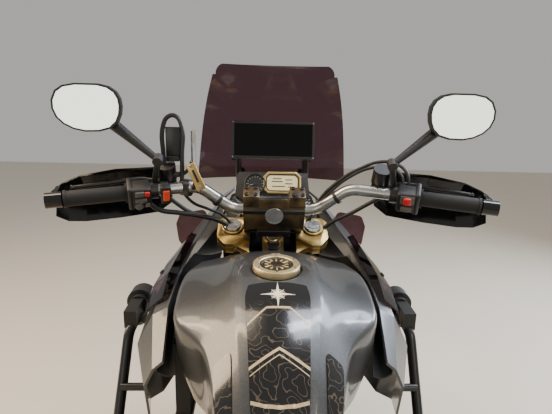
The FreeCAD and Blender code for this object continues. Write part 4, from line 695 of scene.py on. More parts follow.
# gel pads on the tank, with a compass star and bands laid into the centre one
padPlan = {"lift": 0.0011, "thick": 0.0014, "rim": 0.0005, "inkLift": 0.0019, "inkThick": 0.0004,
           "rows": 40, "columns": 16,
           "centre": [(72, 22), (68, 50), (60, 54), (32, 57), (-50, 50), (-132, 43), (-141, 36), (-145, 20)],
           "knee": [(-49, 82, 98), (-56, 76, 104), (-90, 73, 100), (-128, 70.5, 96), (-136, 72, 90)],
           # the star's centre, length and width of its long and short rays, and the radii of its rings
           "star": (0, 40), "rays": [(31, 6.4), (16, 4.6)], "rings": (8, 11), "ringSteps": 24,
           "bands": [  # width, then the broken line that it follows
               (4.2, [(-52, -20), (-20, 10), (20, 10), (52, -20)]), (4.6, [(-47, -86), (0, -60), (47, -86)]),
               (1.6, [(-45, -95), (0, -69), (45, -95)]),
               (4.0, [(-43, -124), (-22, -129), (0, -131), (22, -129), (43, -124)])]}


def onTank(x, y, lift):
    # the point straight above or below on the tank's surface, lifted off it
    hit, place, normal, _ = tankShell.ray_cast(Vector((x, y, 1.3)), Vector((0, 0, -1)))
    return place + normal * lift if hit else Vector((x, y, 0.9))


def padFrom(name, edges):
    # edges: y, left x, right x in millimetres
    rows, columns = [], padPlan["columns"]
    for row in range(padPlan["rows"] + 1):
        y, left, right = between(edges, row / padPlan["rows"])
        across = [(left + (right - left) * k / columns) / 1000 for k in range(columns + 1)]
        rows.append([onTank(x, y / 1000, padPlan["lift"]) for x in across])
    pad = skin(rows)
    thick = pad.modifiers.new("thick", "SOLIDIFY")
    thick.thickness = padPlan["thick"]
    thick.offset = 0
    rim = pad.modifiers.new("rim", "BEVEL")
    rim.width = padPlan["rim"]
    rim.angle_limit = math.radians(50)
    applyAll(pad)
    return finishPiece(pad, name, "gel_sheet", "chassis", angle=40)


def gelArt():
    # glossy black gel sheet with printed tan contour lines that follow a slow noise, 0.8 mm wide
    gloss = {"IOR": 1.5, "Roughness": 0.16, "Coat Weight": 0.6, "Coat Roughness": 0.06}
    material, tree, shader, coords = newMaterial("gelSheetPrinted", gloss)
    place = add(tree, "SeparateXYZ", None, {"Vector": coords})
    hills = add(tree, "TexNoise", {"Scale": 21, "Detail": 2.5, "Roughness": 0.45}, {"Vector": coords})
    levels = add(tree, "Math", {"operation": "MULTIPLY", 1: 11}, {0: hills.outputs["Fac"]})
    steps = add(tree, "Math", {"operation": "FRACT"}, {0: levels})
    lines = add(tree, "Math", {"operation": "LESS_THAN", 1: 0.13}, {0: steps})
    # the lines fade in over the part of the pad that is nearer to the rider
    near = add(tree, "MapRange", {"From Min": 0.030, "From Max": 0.002, "To Min": 0.0, "To Max": 1.0},
               {"Value": place.outputs["Y"]})
    weak = add(tree, "Math", {"operation": "MULTIPLY", 1: 0.16}, {0: near})
    faint = add(tree, "Math", {"operation": "MULTIPLY"}, {0: lines, 1: weak})
    tone = add(tree, "Mix", {"data_type": "RGBA", 6: linear("#0b0b0c"), 7: linear("#b9a184")}, {0: faint})
    wire(tree, shader, "Base Color", tone.outputs[2])
    return material


def printInk(name, colour):
    # screen-printed ink under the gel: an even satin colour with slight mottling
    material, tree, shader, coords = newMaterial(name, {"IOR": 1.5, "Coat Weight": 0.5,
                                                        "Coat Roughness": 0.1})
    mottle = add(tree, "TexNoise", {"Scale": 160, "Detail": 4}, {"Vector": coords})
    share = add(tree, "MapRange", {"From Min": 0.4, "From Max": 0.8, "To Max": 0.4},
                {"Value": mottle.outputs["Fac"]})
    tone = add(tree, "Mix", {"data_type": "RGBA", 6: linear(colour), 7: linear("#6d5b45")}, {0: share})
    wire(tree, shader, "Base Color", tone.outputs[2])
    wire(tree, shader, "Roughness", add(tree, "MapRange", {"To Min": 0.3, "To Max": 0.5},
                                        {"Value": mottle.outputs["Fac"]}))
    return material


def inlay(name, finish, shapes):
    # flat shapes laid on the pad: each is a list of rows of (x, y) in millimetres
    parts = []
    for rows in shapes:
        sheet = skin([[onTank(x / 1000, y / 1000, padPlan["inkLift"]) for x, y in row] for row in rows])
        parts.append(walled(sheet, padPlan["inkThick"]))
    finishPiece(joinPieces(parts), name, finish, "chassis", angle=60)


def strip(points, width, steps=10):
    # rows across a band of one width along a broken line
    rows = []
    for (ax, ay), (bx, by) in zip(points, points[1:]):
        for k in range(steps + 1):
            x, y = ax + (bx - ax) * k / steps, ay + (by - ay) * k / steps
            rows.append([(x, y - width / 2), (x, y + width / 2)])
    return rows


def starRay(centre, angle, length, width):
    # a long thin ray: widest at its foot, a point at its tip
    direction = Vector((math.sin(angle), math.cos(angle)))
    across = Vector((direction.y, -direction.x))
    rows = []
    for k in range(9):
        t = k / 8
        middle = Vector(centre) + direction * length * t
        half = across * width / 2 * (1 - t) + across * 0.15
        rows.append([tuple(middle - half), tuple(middle + half)])
    return rows


def makePads(plan):
    materials["gel_sheet"] = gelArt()
    materials["cream_ink"] = printInk("creamInk", "#f4ead2")
    materials["tan_ink"] = printInk("tanInk", "#c8b08a")
    centrePad = padFrom("centre_pad", [(y, -half, half) for y, half in plan["centre"]])
    padFrom("knee_pad_right", plan["knee"])
    padFrom("knee_pad_left", [(y, -b, -a) for y, a, b in plan["knee"]])
    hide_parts("tank_pads")
    star = [starRay(plan["star"], math.radians(45 * k), *plan["rays"][k % 2]) for k in range(8)]
    middle, step = plan["star"][1], plan["ringSteps"]
    for radius in plan["rings"]:
        for start in range(0, 360, step):
            ends = [(1.2 * math.sin(math.radians(a)) * radius, middle + math.cos(math.radians(a)) * radius)
                    for a in (start, start + step)]
            star.append(strip(ends, 0.9, 2))
    inlay("pad_star", "cream_ink", star)
    inlay("pad_bands", "tan_ink", [strip(line, width) for width, line in plan["bands"]])


makePads(padPlan)


# the fuel cap's ring, screws and plain machined relief
capPlan = {"ring": [(0.0330, 0.0024), (0.0330, 0.0046), (0.0340, 0.0054), (0.0445, 0.0054), (0.0456, 0.0042),
                    (0.0452, 0.002)],
           "dish": [(0.0329, 0.0022), (0.0329, 0.0036), (0.0290, 0.0036), (0.0280, 0.0026), (0.0120, 0.0026),
                    (0.0110, 0.0044), (0.0030, 0.0052)],
           "screws": 6, "screwPlace": (0.0392, 0, 0.005), "petals": 12, "petalPlace": (0.0195, 0, 0.0034),
           "petalLengths": (0.0075, 0.0115), "petalSection": (0.0028, 0.0018),
           "hinge": (0.018, 0.007, 0.004), "hingePlace": (0, 0.0485, 0.0022)}


def makeCapTrim(plan):
    finishPiece(turned(plan["ring"], 72, capPlace), "cap_ring", "cap_metal", "fuel_cap")
    finishPiece(turned(plan["dish"], 64, capPlace), "cap_dish", "cap_dark", "fuel_cap")
    turns = [rotated(capPlace, 30 + 360 / plan["screws"] * k, "Z") for k in range(plan["screws"])]
    bolts("cap_screws", [shifted(turn, *plan["screwPlace"]) for turn in turns], "disc_steel", "fuel_cap")
    petals = []
    for k in range(plan["petals"]):
        place = shifted(rotated(capPlace, 360 / plan["petals"] * k, "Z"), *plan["petalPlace"])
        petals.append(roundedBox((plan["petalLengths"][k % 2], *plan["petalSection"]), 0.0006, place))
    finishPiece(joinPieces(petals), "cap_relief", "cap_metal", "fuel_cap")
    hinge = roundedBox(plan["hinge"], 0.001, shifted(capPlace, *plan["hingePlace"]))
    finishPiece(hinge, "cap_hinge", "cap_metal", "fuel_cap")


materials["cap_dark"] = brushedMetal("machinedCapDark", "#6d6455", 0.38, "X")
makeCapTrim(capPlan)
print("stage: cap and pads")


# the clamp over the bars, in the steering's frame: outlines of (y, z) that are extruded along x
sideways = Matrix(((0, 0, 1, 0), (1, 0, 0, 0), (0, 1, 0, 0), (0, 0, 0, 1)))
clampPlan = {"width": 0.146,
             "outline": [(-0.004, 1.2035), (-0.007, 1.2075), (0.011, 1.2790), (0.015, 1.2835),
                         (0.0225, 1.2835), (0.0225, 1.2560), (0.003, 1.2035)],
             "cap": [(0.004, 1.2700), (0.014, 1.2925), (0.052, 1.2925), (0.056, 1.2880), (0.056, 1.2500),
                     (0.020, 1.2500)], "capWidth": 0.037, "capStarts": (-0.0735, 0.0365),
             "disc": [(0.0215, 0), (0.0215, 0.0016), (0.0208, 0.0022), (0.0186, 0.0022), (0.0180, 0.0014),
                      (0.003, 0.0014)], "discPlace": (0, -0.0005, 1.246), "discFaces": (0, -0.0715, 0.018),
             "bracket": (0.080, 0.012, 0.020), "bracketPlace": (0, -0.008, 1.198),
             "boltsAcross": (-0.066, -0.044, 0.044, 0.066), "boltsAlong": (0.022, 0.046), "boltsHigh": 1.2925}


def anodisedWithPaintedSheen(name):
    # hard-anodised aluminium, black with a bronze look: the warm brown that a noise mixes in is painted
    # sheen, standing in for light that grazes it
    material, tree, shader, coords = newMaterial(name, {"Metallic": 0.7})
    cloud = add(tree, "TexNoise", {"Scale": 24, "Detail": 6}, {"Vector": coords})
    # painted sheen: where the noise is high, warm brown is mixed into the black base colour
    share = add(tree, "MapRange", {"From Min": 0.35, "From Max": 0.75}, {"Value": cloud.outputs["Fac"]})
    tone = add(tree, "Mix", {"data_type": "RGBA", 6: linear("#2b2621"), 7: linear("#75603f")}, {0: share})
    wire(tree, shader, "Base Color", tone.outputs[2])
    wire(tree, shader, "Roughness", add(tree, "MapRange", {"To Min": 0.24, "To Max": 0.42},
                                        {"Value": cloud.outputs["Fac"]}))
    return material


def makeClamp(plan):
    body = plate(plan["outline"], plan["width"], 0.0016, steered(-plan["width"] / 2, 0, 0) @ sideways)
    finishPiece(body, "clamp_plate", "hard_anodised", "steering", angle=30)
    caps = [plate(plan["cap"], plan["capWidth"], 0.0018, steered(x, 0, 0) @ sideways)
            for x in plan["capStarts"]]
    finishPiece(joinPieces(caps), "clamp_caps", "hard_anodised", "steering", angle=30)
    place = steeringPlace @ aim(plan["discPlace"], Vector(plan["discFaces"]).normalized())
    disc = turned(plan["disc"], 56, shifted(place, 0, 0, 0.0002))
    finishPiece(disc, "clamp_disc", "plate_aluminium", "steering")
    bracket = roundedBox(plan["bracket"], 0.002, steered(*plan["bracketPlace"]))
    finishPiece(bracket, "clamp_bracket", "frame_paint", "steering")
    places = [steered(x, y, plan["boltsHigh"]) for x in plan["boltsAcross"] for y in plan["boltsAlong"]]
    bolts("clamp_bolts", places, "frame_paint", "steering")


materials["hard_anodised"] = anodisedWithPaintedSheen("hardAnodised")
makeClamp(clampPlan)


# fork caps in their rings, the stem nut, and the ignition lock behind it
forkPlan = {"caps": (-0.1025, 0.1025), "capPlace": (0.0432, 1.1641), "lockPlace": (0, -0.022, 1.1641),
            "keyhole": (0.0022, 0.010, 0.001), "keyholeHigh": 0.0083, "nutPlace": (0, 0, 1.1645),
            "pinchPlace": (0.119, 0.0055, 1.149), "pinchFaces": (0.3, -1, 0),
            "ring": [(0.0262, 0), (0.0262, 0.004), (0.0250, 0.0052), (0.0222, 0.0052), (0.0216, 0.0046),
                     (0.0214, 0.0)],
            "cap": [(0.0212, 0.0035), (0.0212, 0.0094), (0.0200, 0.0106), (0.0135, 0.0106), (0.0128, 0.0092),
                    (0.0128, 0.0112), (0.0122, 0.0118), (0.0062, 0.0118), (0.0056, 0.0095), (0.0015, 0.0095)],
            "lock": [(0.0165, 0), (0.0165, 0.008), (0.0150, 0.0098), (0.0095, 0.0098), (0.0088, 0.0080),
                     (0.0020, 0.0080)],
            "nut": [(0.0150, 0), (0.0150, 0.0115), (0.0138, 0.0125), (0.0100, 0.0125), (0.0094, 0.0090),
                    (0.0020, 0.0090)]}


def makeForkTops(plan):
    places = [steered(x, *plan["capPlace"]) for x in plan["caps"]]
    for name, profile, finish in (("fork_rings", "ring", "gold_anodised"),
                                  ("fork_caps", "cap", "disc_steel")):
        pair = joinPieces([turned(plan[profile], 48, place) for place in places])
        finishPiece(pair, name, finish, "steering")
    place = steered(*plan["lockPlace"])
    keyhole = roundedBox(plan["keyhole"], 0.0003, shifted(place, 0, 0, plan["keyholeHigh"]))
    lock = joinPieces([turned(plan["lock"], 40, place), keyhole])
    finishPiece(lock, "ignition_lock", "black_plastic", "steering")
    finishPiece(turned(plan["nut"], 36, steered(*plan["nutPlace"])), "stem_nut", "disc_steel", "steering")
    pinches = [steeringPlace @ aim(sided(plan["pinchPlace"], side), sided(plan["pinchFaces"], side))
               for side in (-1, 1)]
    bolts("yoke_pinch_bolts", pinches, "disc_steel", "steering")


makeForkTops(forkPlan)


def yokeFinish(name):
    # gold anodised where the yoke grips the legs and the stem, black hard coat on the web between them
    material, tree, shader, coords = newMaterial(name, {"Metallic": 1.0})
    place = add(tree, "SeparateXYZ", None, {"Vector": coords})
    across = add(tree, "Math", {"operation": "ABSOLUTE"}, {0: place.outputs["X"]})
    lug = add(tree, "Math", {"operation": "GREATER_THAN", 1: 0.0585}, {0: across})
    block = add(tree, "Math", {"operation": "LESS_THAN", 1: 0.0262}, {0: across})
    gold = add(tree, "Math", {"operation": "MAXIMUM"}, {0: lug, 1: block})
    cloud = add(tree, "TexNoise", {"Scale": 30, "Detail": 5}, {"Vector": coords})
    warm = add(tree, "Mix", {"data_type": "RGBA", 6: linear("#c9b077"), 7: linear("#a98a4c")},
               {0: cloud.outputs["Fac"]})
    tone = add(tree, "Mix", {"data_type": "RGBA", 6: linear("#1b1a19")}, {0: gold, 7: warm.outputs[2]})
    wire(tree, shader, "Base Color", tone.outputs[2])
    wire(tree, shader, "Roughness", add(tree, "MapRange", {"To Min": 0.26, "To Max": 0.42},
                                        {"Value": cloud.outputs["Fac"]}))
    return material


yokeShell = softened("yokes", 0.0018)
yokeShell.data.materials[0] = yokeFinish("twoToneYoke")
print("stage: clamp, yokes and fork caps")


# the handlebar's controls: places are in millimetres inward from the bar's end, in front of it and above it
podPlan = {"end": (0.455, -0.049, 1.330), "along": (-0.951, 0.295, -0.093),
           "shell": [((0.046, 0.052, 0.040), 0.005, (160, -8, 0)),
                     ((0.012, 0.058, 0.050), 0.005, (139, -4, 0))],   # size, edge and place of each box
           "screw": (160, 3, -26), "hornPlace": (155, -28, -17),
           "horn": [(0.0085, 0.0), (0.0085, 0.004), (0.0070, 0.0055), (0.002, 0.006)],
           "rockerBand": [(0.0150, -0.009), (0.0190, -0.009), (0.0190, 0.009), (0.0150, 0.009)],
           "rockerBandPlace": (214, 0, 0), "rockerCase": [((0.022, 0.046, 0.016), 0.003, (214, -24, 6))],
           # left: beam rocker, indicator slide and its knob; right: starter under the red stop switch
           "keys": [("left_switches", "pod_grey", -1, [((0.020, 0.013, 0.006), 0.002, (158, -29, 15)),
                                                       ((0.026, 0.010, 0.008), 0.003, (160, -29, -2)),
                                                       ((0.009, 0.006, 0.010), 0.002, (160, -32, -2)),
                                                       ((0.010, 0.010, 0.005), 0.002, (174, -28, -17))]),
                    ("left_red_button", "switch_red", -1, [((0.011, 0.011, 0.007), 0.002, (174, -30, 15))]),
                    ("right_switches", "pod_grey", 1, [((0.024, 0.012, 0.007), 0.002, (160, -29, -13)),
                                                       ((0.030, 0.022, 0.003), 0.001, (160, -28.4, 11))]),
                    ("stop_switch", "switch_red", 1, [((0.017, 0.018, 0.010), 0.003, (160, -32, 11))]),
                    ("extra_rocker", "switch_orange", -1,
                     [((0.014, 0.028, 0.006), 0.002, (214, -33.5, 8))])]}
gripEnd = Vector(podPlan["end"])
gripAlong = Vector(podPlan["along"]).normalized()
gripUp = Vector((0, 0, 1)) - gripAlong * gripAlong.z
gripUp.normalize()
gripFront = gripUp.cross(gripAlong)
if gripFront.y < 0:
    gripFront.negate()


def onGrip(inward, forward, up, side):
    # a place beside a grip: its X runs inward along the bar, its Z faces the rider, its Y is up
    point = gripEnd + gripAlong * inward / 1000 + gripFront * forward / 1000 + gripUp * up / 1000
    along, back = sided(gripAlong, side), -sided(gripFront, side)
    turn = steeringPlace.to_3x3() @ Matrix((along, back.cross(along), back)).transposed()
    return Matrix.Translation(steeringPlace @ sided(point, side)) @ turn.to_4x4()


def makeControls(plan):
    def boxes(rows, side):
        return [roundedBox(size, edge, onGrip(*place, side)) for size, edge, place in rows]

    for side, name in ((-1, "left"), (1, "right")):
        pod = joinPieces(boxes(plan["shell"], side))
        finishPiece(pod, "pod_shell_" + name, "black_plastic", "steering")
        screw = rotated(onGrip(*plan["screw"], side), 90, "X")
        bolts("pod_screws_" + name, [screw], "disc_steel", "steering")
    # an extra rocker sits on the bar inside the left perch, on a band of its own
    band = turned(plan["rockerBand"], 32, rotated(onGrip(*plan["rockerBandPlace"], -1), 90, "Y"))
    case = joinPieces([band] + boxes(plan["rockerCase"], -1))
    finishPiece(case, "extra_rocker_case", "black_plastic", "steering")
    for name, finish, side, rows in plan["keys"]:
        parts = boxes(rows, side)
        if name == "left_switches":
            parts.append(turned(plan["horn"], 28, onGrip(*plan["hornPlace"], side), closed=False))
        finishPiece(joinPieces(parts), name, finish, "steering")


materials["switch_red"] = mouldedPlastic("redSwitchPlastic", "#c3161b", 0.35, 0.0012, 0.1)
materials["switch_orange"] = mouldedPlastic("orangeSwitchPlastic", "#e0482a", 0.35, 0.0012, 0.1)
materials["pod_grey"] = mouldedPlastic("greySwitchPlastic", "#55534f", 0.45, 0.0012, 0.2)
makeControls(podPlan)
print("stage: controls")


# dashboard and navigation display: places are on their faces
dashPlan = {"face": (0, 0.520, 1.134), "lean": -26, "frame": (0.0265, 0.010), "frameHalf": (0.052, 0.031),
            # how far the corners of the frame, its lip and the panel are cut
            "frameCut": 0.013, "frameWidth": 0.0065, "lipCut": 0.009, "lipIn": 0.007, "panelCut": 0.007,
            "panelIn": 0.009, "segmentSection": (0.0030, 0.0005), "tickSection": (0.0012, 0.0004),
            # x, y and length of each segment
            "segments": [(-0.014, 0.012, 0.024), (-0.014, 0.004, 0.030), (0.018, 0.009, 0.018),
                         (0.018, -0.002, 0.020), (-0.010, -0.010, 0.036), (0.022, -0.011, 0.012)],
            "dial": (-0.048, 0.006), "dialRadius": 0.030, "ticks": 12, "tickStart": -40, "tickStep": 22,
            "tickLengths": (0.0065, 0.0042), "needle": (0.019, 0.0014, 0.0006),
            "needleTurn": 196,
            "hub": [(0.0045, 0.002), (0.0045, 0.0042), (0.0010, 0.0046)],
            "knob": [(0.0042, 0), (0.0042, 0.003), (0.0034, 0.0038), (0.001, 0.0038)],
            "knobs": (-0.055, -0.030, 0.020, 0.050), "knobsHigh": -0.031}
navPlan = {"face": (0, 0.556, 1.256), "lean": -14, "rim": (0.114, 0.051), "glass": (0.107, 0.044),
           "screws": (0.1105, 0.0475)}


def onFace(plan):
    return rotated(Matrix.Translation(plan["face"]), plan["lean"] + 90, "X")


def octagon(halfX, halfY, cut):
    return [(halfX, -halfY + cut), (halfX, halfY - cut), (halfX - cut, halfY), (-halfX + cut, halfY),
            (-halfX, halfY - cut), (-halfX, -halfY + cut), (-halfX + cut, -halfY), (halfX - cut, -halfY)]


def rectangle(halfX, halfY):
    return [(halfX, -halfY), (halfX, halfY), (-halfX, halfY), (-halfX, -halfY)]


def screenGlass(name, colour, roughness):
    # hard-coated cover glass over a dark display, faint finger marks
    material, tree, shader, coords = newMaterial(name, {"Base Color": linear(colour), "IOR": 1.45,
                                                        "Specular IOR Level": 0.22})
    smears = add(tree, "TexNoise", {"Scale": 34, "Detail": 6}, {"Vector": coords})
    gloss = {"From Min": 0.4, "From Max": 0.7, "To Min": roughness, "To Max": roughness + 0.12}
    wire(tree, shader, "Roughness", add(tree, "MapRange", gloss, {"Value": smears.outputs["Fac"]}))
    return material


def litPanel(name, colour):
    # the cream reflective back of a liquid-crystal display with its faint pixel grid, 1.5 mm, and a faint
    # even glow; on the dash's panel, which is no lamp, this glow is painted light
    material, tree, shader, coords = newMaterial(name, {"Roughness": 0.35, "IOR": 1.5,
                                                        "Emission Strength": 0.25,
                                                        "Emission Color": linear(colour)})
    grid = add(tree, "TexBrick", {"Scale": 330, "Color1": linear(colour), "Color2": linear(colour),
                                  "Mortar": linear("#b9ab7c"), "Mortar Size": 0.03}, {"Vector": coords})
    wire(tree, shader, "Base Color", grid.outputs["Color"])
    return material


def makeDash(plan):
    face = onFace(plan)
    halfX, halfY = plan["frameHalf"]
    spot = shifted(face, *plan["frame"], 0.0008)
    frameRing = framed(octagon(halfX, halfY, plan["frameCut"]), plan["frameWidth"], 0.004, spot)
    finishPiece(frameRing, "lcd_frame", "gold_anodised", "chassis")
    lip = framed(octagon(halfX - plan["lipIn"], halfY - plan["lipIn"], plan["lipCut"]), 0.003, 0.0022, spot)
    finishPiece(lip, "lcd_lip", "black_plastic", "chassis")
    inner = octagon(halfX - plan["panelIn"], halfY - plan["panelIn"], plan["panelCut"])
    panel = plate(inner, 0.0014, 0, spot)
    finishPiece(panel, "lcd_panel", "cream_lcd", "chassis")
    bars = [roundedBox((length, *plan["segmentSection"]), 0.0001, shifted(spot, x, y, 0.0016))
            for x, y, length in plan["segments"]]
    finishPiece(joinPieces(bars), "lcd_segments", "pod_grey", "chassis")
    spot, radius = shifted(face, *plan["dial"], 0.0006), plan["dialRadius"]
    rim = turned([(radius, 0), (radius, 0.0035), (radius - 0.0015, 0.0048), (radius - 0.004, 0.0048),
                  (radius - 0.0052, 0.0016), (0.002, 0.0016)], 56, spot)
    finishPiece(rim, "dial_rim", "black_plastic", "chassis")
    ticks = []
    for k in range(plan["ticks"]):
        turn = rotated(spot, plan["tickStart"] + plan["tickStep"] * k, "Z")
        ticks.append(roundedBox((plan["tickLengths"][k % 2], *plan["tickSection"]), 0.0001,
                                shifted(turn, radius - 0.0095, 0, 0.0020)))
    needle = shifted(rotated(spot, plan["needleTurn"], "Z"), 0.008, 0, 0.0030)
    ticks.append(roundedBox(plan["needle"], 0.0002, needle))
    finishPiece(joinPieces(ticks), "dial_ticks", "plate_aluminium", "chassis")
    finishPiece(turned(plan["hub"], 24, spot), "dial_hub", "black_plastic", "chassis")
    knobs = [turned(plan["knob"], 20, shifted(face, x, plan["knobsHigh"], 0.0004)) for x in plan["knobs"]]
    finishPiece(joinPieces(knobs), "dash_buttons", "pod_grey", "chassis")


def makeNav(plan):
    # the display's glass sits in a raised rim
    spot = shifted(onFace(plan), 0, 0.001, 0.0002)
    finishPiece(framed(rectangle(*plan["rim"]), 0.006, 0.0014, spot), "nav_rim", "black_plastic", "chassis")
    finishPiece(plate(rectangle(*plan["glass"]), 0.0007, 0, spot), "nav_glass", "cover_glass", "chassis")
    x, y = plan["screws"]
    screws = [shifted(spot, signX * x, signY * y, 0.0012) for signX in (-1, 1) for signY in (-1, 1)]
    bolts("nav_screws", screws, "disc_steel", "chassis")


materials["cover_glass"] = screenGlass("coverGlass", "#070708", 0.06)
# the dash's cream panel glows faintly though it is no lamp: painted light
materials["cream_lcd"] = litPanel("creamLcd", "#e9dcae")
makeDash(dashPlan)
makeNav(navPlan)


# cables and hoses around the handlebar: each run is a radius and its route in millimetres
cablePlan = {
    "throttle_cables": [(0.0042, [(311, 326, 1172), (311, 336, 1200), (298, 356, 1222), (262, 384, 1228),
                                  (210, 404, 1206), (160, 416, 1170), (118, 424, 1122), (96, 428, 1070),
                                  (86, 440, 1010)]),
                        (0.0042, [(298, 322, 1176), (296, 340, 1202), (276, 364, 1216), (238, 390, 1212),
                                  (190, 408, 1186), (146, 418, 1146), (108, 424, 1096), (80, 432, 1040),
                                  (70, 446, 990)])],
    "front_brake_hose": [(0.0052, [(262, 352, 1150), (236, 372, 1128), (196, 398, 1094), (150, 414, 1064),
                                   (112, 424, 1024), (92, 450, 960), (96, 500, 860), (104, 560, 700)])],
    "clutch_hose": [(0.0052, [(-262, 352, 1150), (-236, 364, 1122), (-200, 372, 1096), (-164, 386, 1082),
                              (-126, 406, 1060), (-100, 424, 1024), (-84, 440, 970)])],
    "left_harness": [(0.0060, [(-296, 318, 1140), (-270, 334, 1112), (-226, 352, 1100), (-180, 372, 1088),
                               (-138, 396, 1070), (-104, 420, 1040), (-78, 440, 990)]),
                     (0.0036, [(-214, 326, 1158), (-190, 346, 1126), (-160, 372, 1106), (-124, 402, 1080),
                               (-92, 426, 1030)])]}
tiePlan = {"profile": [(0.0150, -0.004), (0.0162, -0.004), (0.0162, 0.004), (0.0150, 0.004)],
           "places": [((-0.1350, 0.037, 1.262), (-0.75, 0, 0.66)),
                      ((0.150, 0.037, 1.276), (0.75, 0, 0.66))]}


def makeCables():
    for name, hoses in cablePlan.items():
        pieces = [hose([mm(*point) for point in points], radius) for radius, points in hoses]
        finishPiece(joinPieces(pieces), name, "hose_rubber", "steering", angle=60)
    ties = [turned(tiePlan["profile"], 28, steeringPlace @ aim(place, way))
            for place, way in tiePlan["places"]]
    finishPiece(joinPieces(ties), "bar_ties", "hose_rubber", "steering")


# the telephone holder on the left of the bars, with a pale plate and a slotted tan plate beside it
holderPlan = {
    "clamp": [(0.0150, -0.012), (0.0195, -0.012), (0.0195, 0.012), (0.0150, 0.012)],
    "clampPlace": (-0.205, 0.0306, 1.3035), "clampAlong": (0.951, -0.295, 0.093),
    "tube": 0.0052, "rod": 0.0042, "stayRod": 0.0045,
    "loop": [(-252, 336, 1176), (-254, 332, 1240), (-252, 330, 1306), (-240, 330, 1326), (-224, 330, 1327),
             (-212, 330, 1308), (-212, 331, 1240), (-214, 334, 1176)],
    "back": (0.034, 0.004, 0.070), "backPlace": (-232, 337, 1268),
    "rail": (0.030, 0.010, 0.012), "railPlace": (-233, 333), "rails": (1196, 1232),
    "plate": (0.011, 0.005, 0.086), "platePlace": (-186, 331, 1254),
    "arm": [(-212, 334, 1196), (-200, 332, 1206), (-190, 331, 1226)],
    "stay": [(-186, 318, 1166), (-182, 312, 1176), (-180, 309, 1190)],
    "tan": (0.021, 0.0035, 0.064), "tanPlace": (-178, 306, 1196), "tanLean": -24,
    "tanScrews": (-0.025, 0.026),
    "slot": (0.0055, 0.0012, 0.030), "slotPlace": (0, -0.0018, 0.002)}


def makeHolder(plan):
    clamp = turned(plan["clamp"], 32, steeringPlace @ aim(plan["clampPlace"], plan["clampAlong"]))
    loop = hose([mm(*point) for point in plan["loop"]], plan["tube"])
    rails = [roundedBox(plan["rail"], 0.002, mm(*plan["railPlace"], z)) for z in plan["rails"]]
    back = roundedBox(plan["back"], 0.0015, mm(*plan["backPlace"]))
    finishPiece(joinPieces([clamp, loop, back] + rails), "holder_frame", "frame_paint", "steering")
    for name, route, radius in (("holder_arm", "arm", "rod"), ("plate_stay", "stay", "stayRod")):
        rod = hose([mm(*point) for point in plan[route]], plan[radius])
        finishPiece(rod, name, "frame_paint", "steering")
    palePlate = roundedBox(plan["plate"], 0.002, mm(*plan["platePlace"]))
    finishPiece(palePlate, "holder_plate", "lamp_glass", "steering")
    place = rotated(Matrix.Translation(mm(*plan["tanPlace"])), plan["tanLean"], "Y")
    finishPiece(roundedBox(plan["tan"], 0.0015, place), "slotted_plate", "tan_plate", "steering")
    slot = roundedBox(plan["slot"], 0.0005, shifted(place, *plan["slotPlace"]))
    finishPiece(slot, "plate_slot", "black_plastic", "steering")
    screws = [rotated(shifted(place, 0, -0.0017, z), 90, "X") for z in plan["tanScrews"]]
    bolts("plate_screws", screws, "disc_steel", "steering")


materials["hose_rubber"] = rubber("hoseRubber", "#101011", 0.5)
materials["tan_plate"] = brushedMetal("tanAnodised", "#c2a46c", 0.34, "X")
makeCables()
makeHolder(holderPlan)
print("stage: displays, cables and holder")


def onNode(name, start, direction, lift=0.0):
    # where a line first meets a frame piece, as a place whose Z axis leaves its surface
    target = bpy.data.objects.get(name + "_shell") or nodes[name]
    hit, place, normal, _ = target.ray_cast(Vector(start), Vector(direction).normalized())
    return aim(place + normal * lift, normal) if hit else None


# the inner panels of the fairing, and its bolts
fairingPlan = {  # rows in millimetres: y, then x and z of the inner edge, x and z of the outer edge
    "rows": [(40, 182, 876, 216, 880), (150, 206, 894, 252, 900), (260, 200, 910, 256, 912),
             (380, 152, 926, 240, 926), (500, 136, 946, 214, 942)],
    "steps": 24, "across": 5, "sag": 7, "wall": 0.003,
    "bolts": {"side_cowls": [(0.12, 0.80), (0.20, 0.74), (0.30, 0.86), (0.42, 0.95), (0.52, 0.98),
                             (0.60, 0.90)],   # y, z
              "smoked_panels": [(0.30, 0.97), (0.46, 1.00)]},
    "screenBolts": [(-0.115, 1.19), (0.115, 1.19), (-0.09, 1.15), (0.09, 1.15)]}   # x, z


def makeFairingTrim(plan):
    panels = []
    for side in (-1, 1):
        lines = []
        for step in range(plan["steps"] + 1):
            y, x, z, outX, outZ = between(plan["rows"], step / plan["steps"])
            line = []
            for share in (k / plan["across"] for k in range(plan["across"] + 1)):
                sag = plan["sag"] * math.sin(math.pi * share)
                line.append(mm(side * (x + (outX - x) * share), y, z + (outZ - z) * share - sag))
            lines.append(line)
        panels.append(walled(skin(lines), plan["wall"], -1))
    finishPiece(joinPieces(panels), "inner_panels", "black_plastic", "chassis")
    spots = [onNode(name, (side * 0.6, y, z), (-side, 0, 0))
             for side in (-1, 1) for name, rows in plan["bolts"].items() for y, z in rows]
    bolts("cowl_bolts", spots, "frame_paint", "chassis")
    spots = [onNode("windscreen", (x, -0.5, z), (0, 1, 0)) for x, z in plan["screenBolts"]]
    bolts("screen_bolts", spots, "frame_paint", "chassis")


def chromed(name):
    # vacuum-metallised reflector: mirror bright with a soft haze
    material, tree, shader, coords = newMaterial(name, {"Metallic": 1.0, "Base Color": linear("#dfe2e4")})
    haze = add(tree, "TexNoise", {"Scale": 40, "Detail": 3}, {"Vector": coords})
    wire(tree, shader, "Roughness", add(tree, "MapRange", {"To Min": 0.03, "To Max": 0.12},
                                        {"Value": haze.outputs["Fac"]}))
    return material


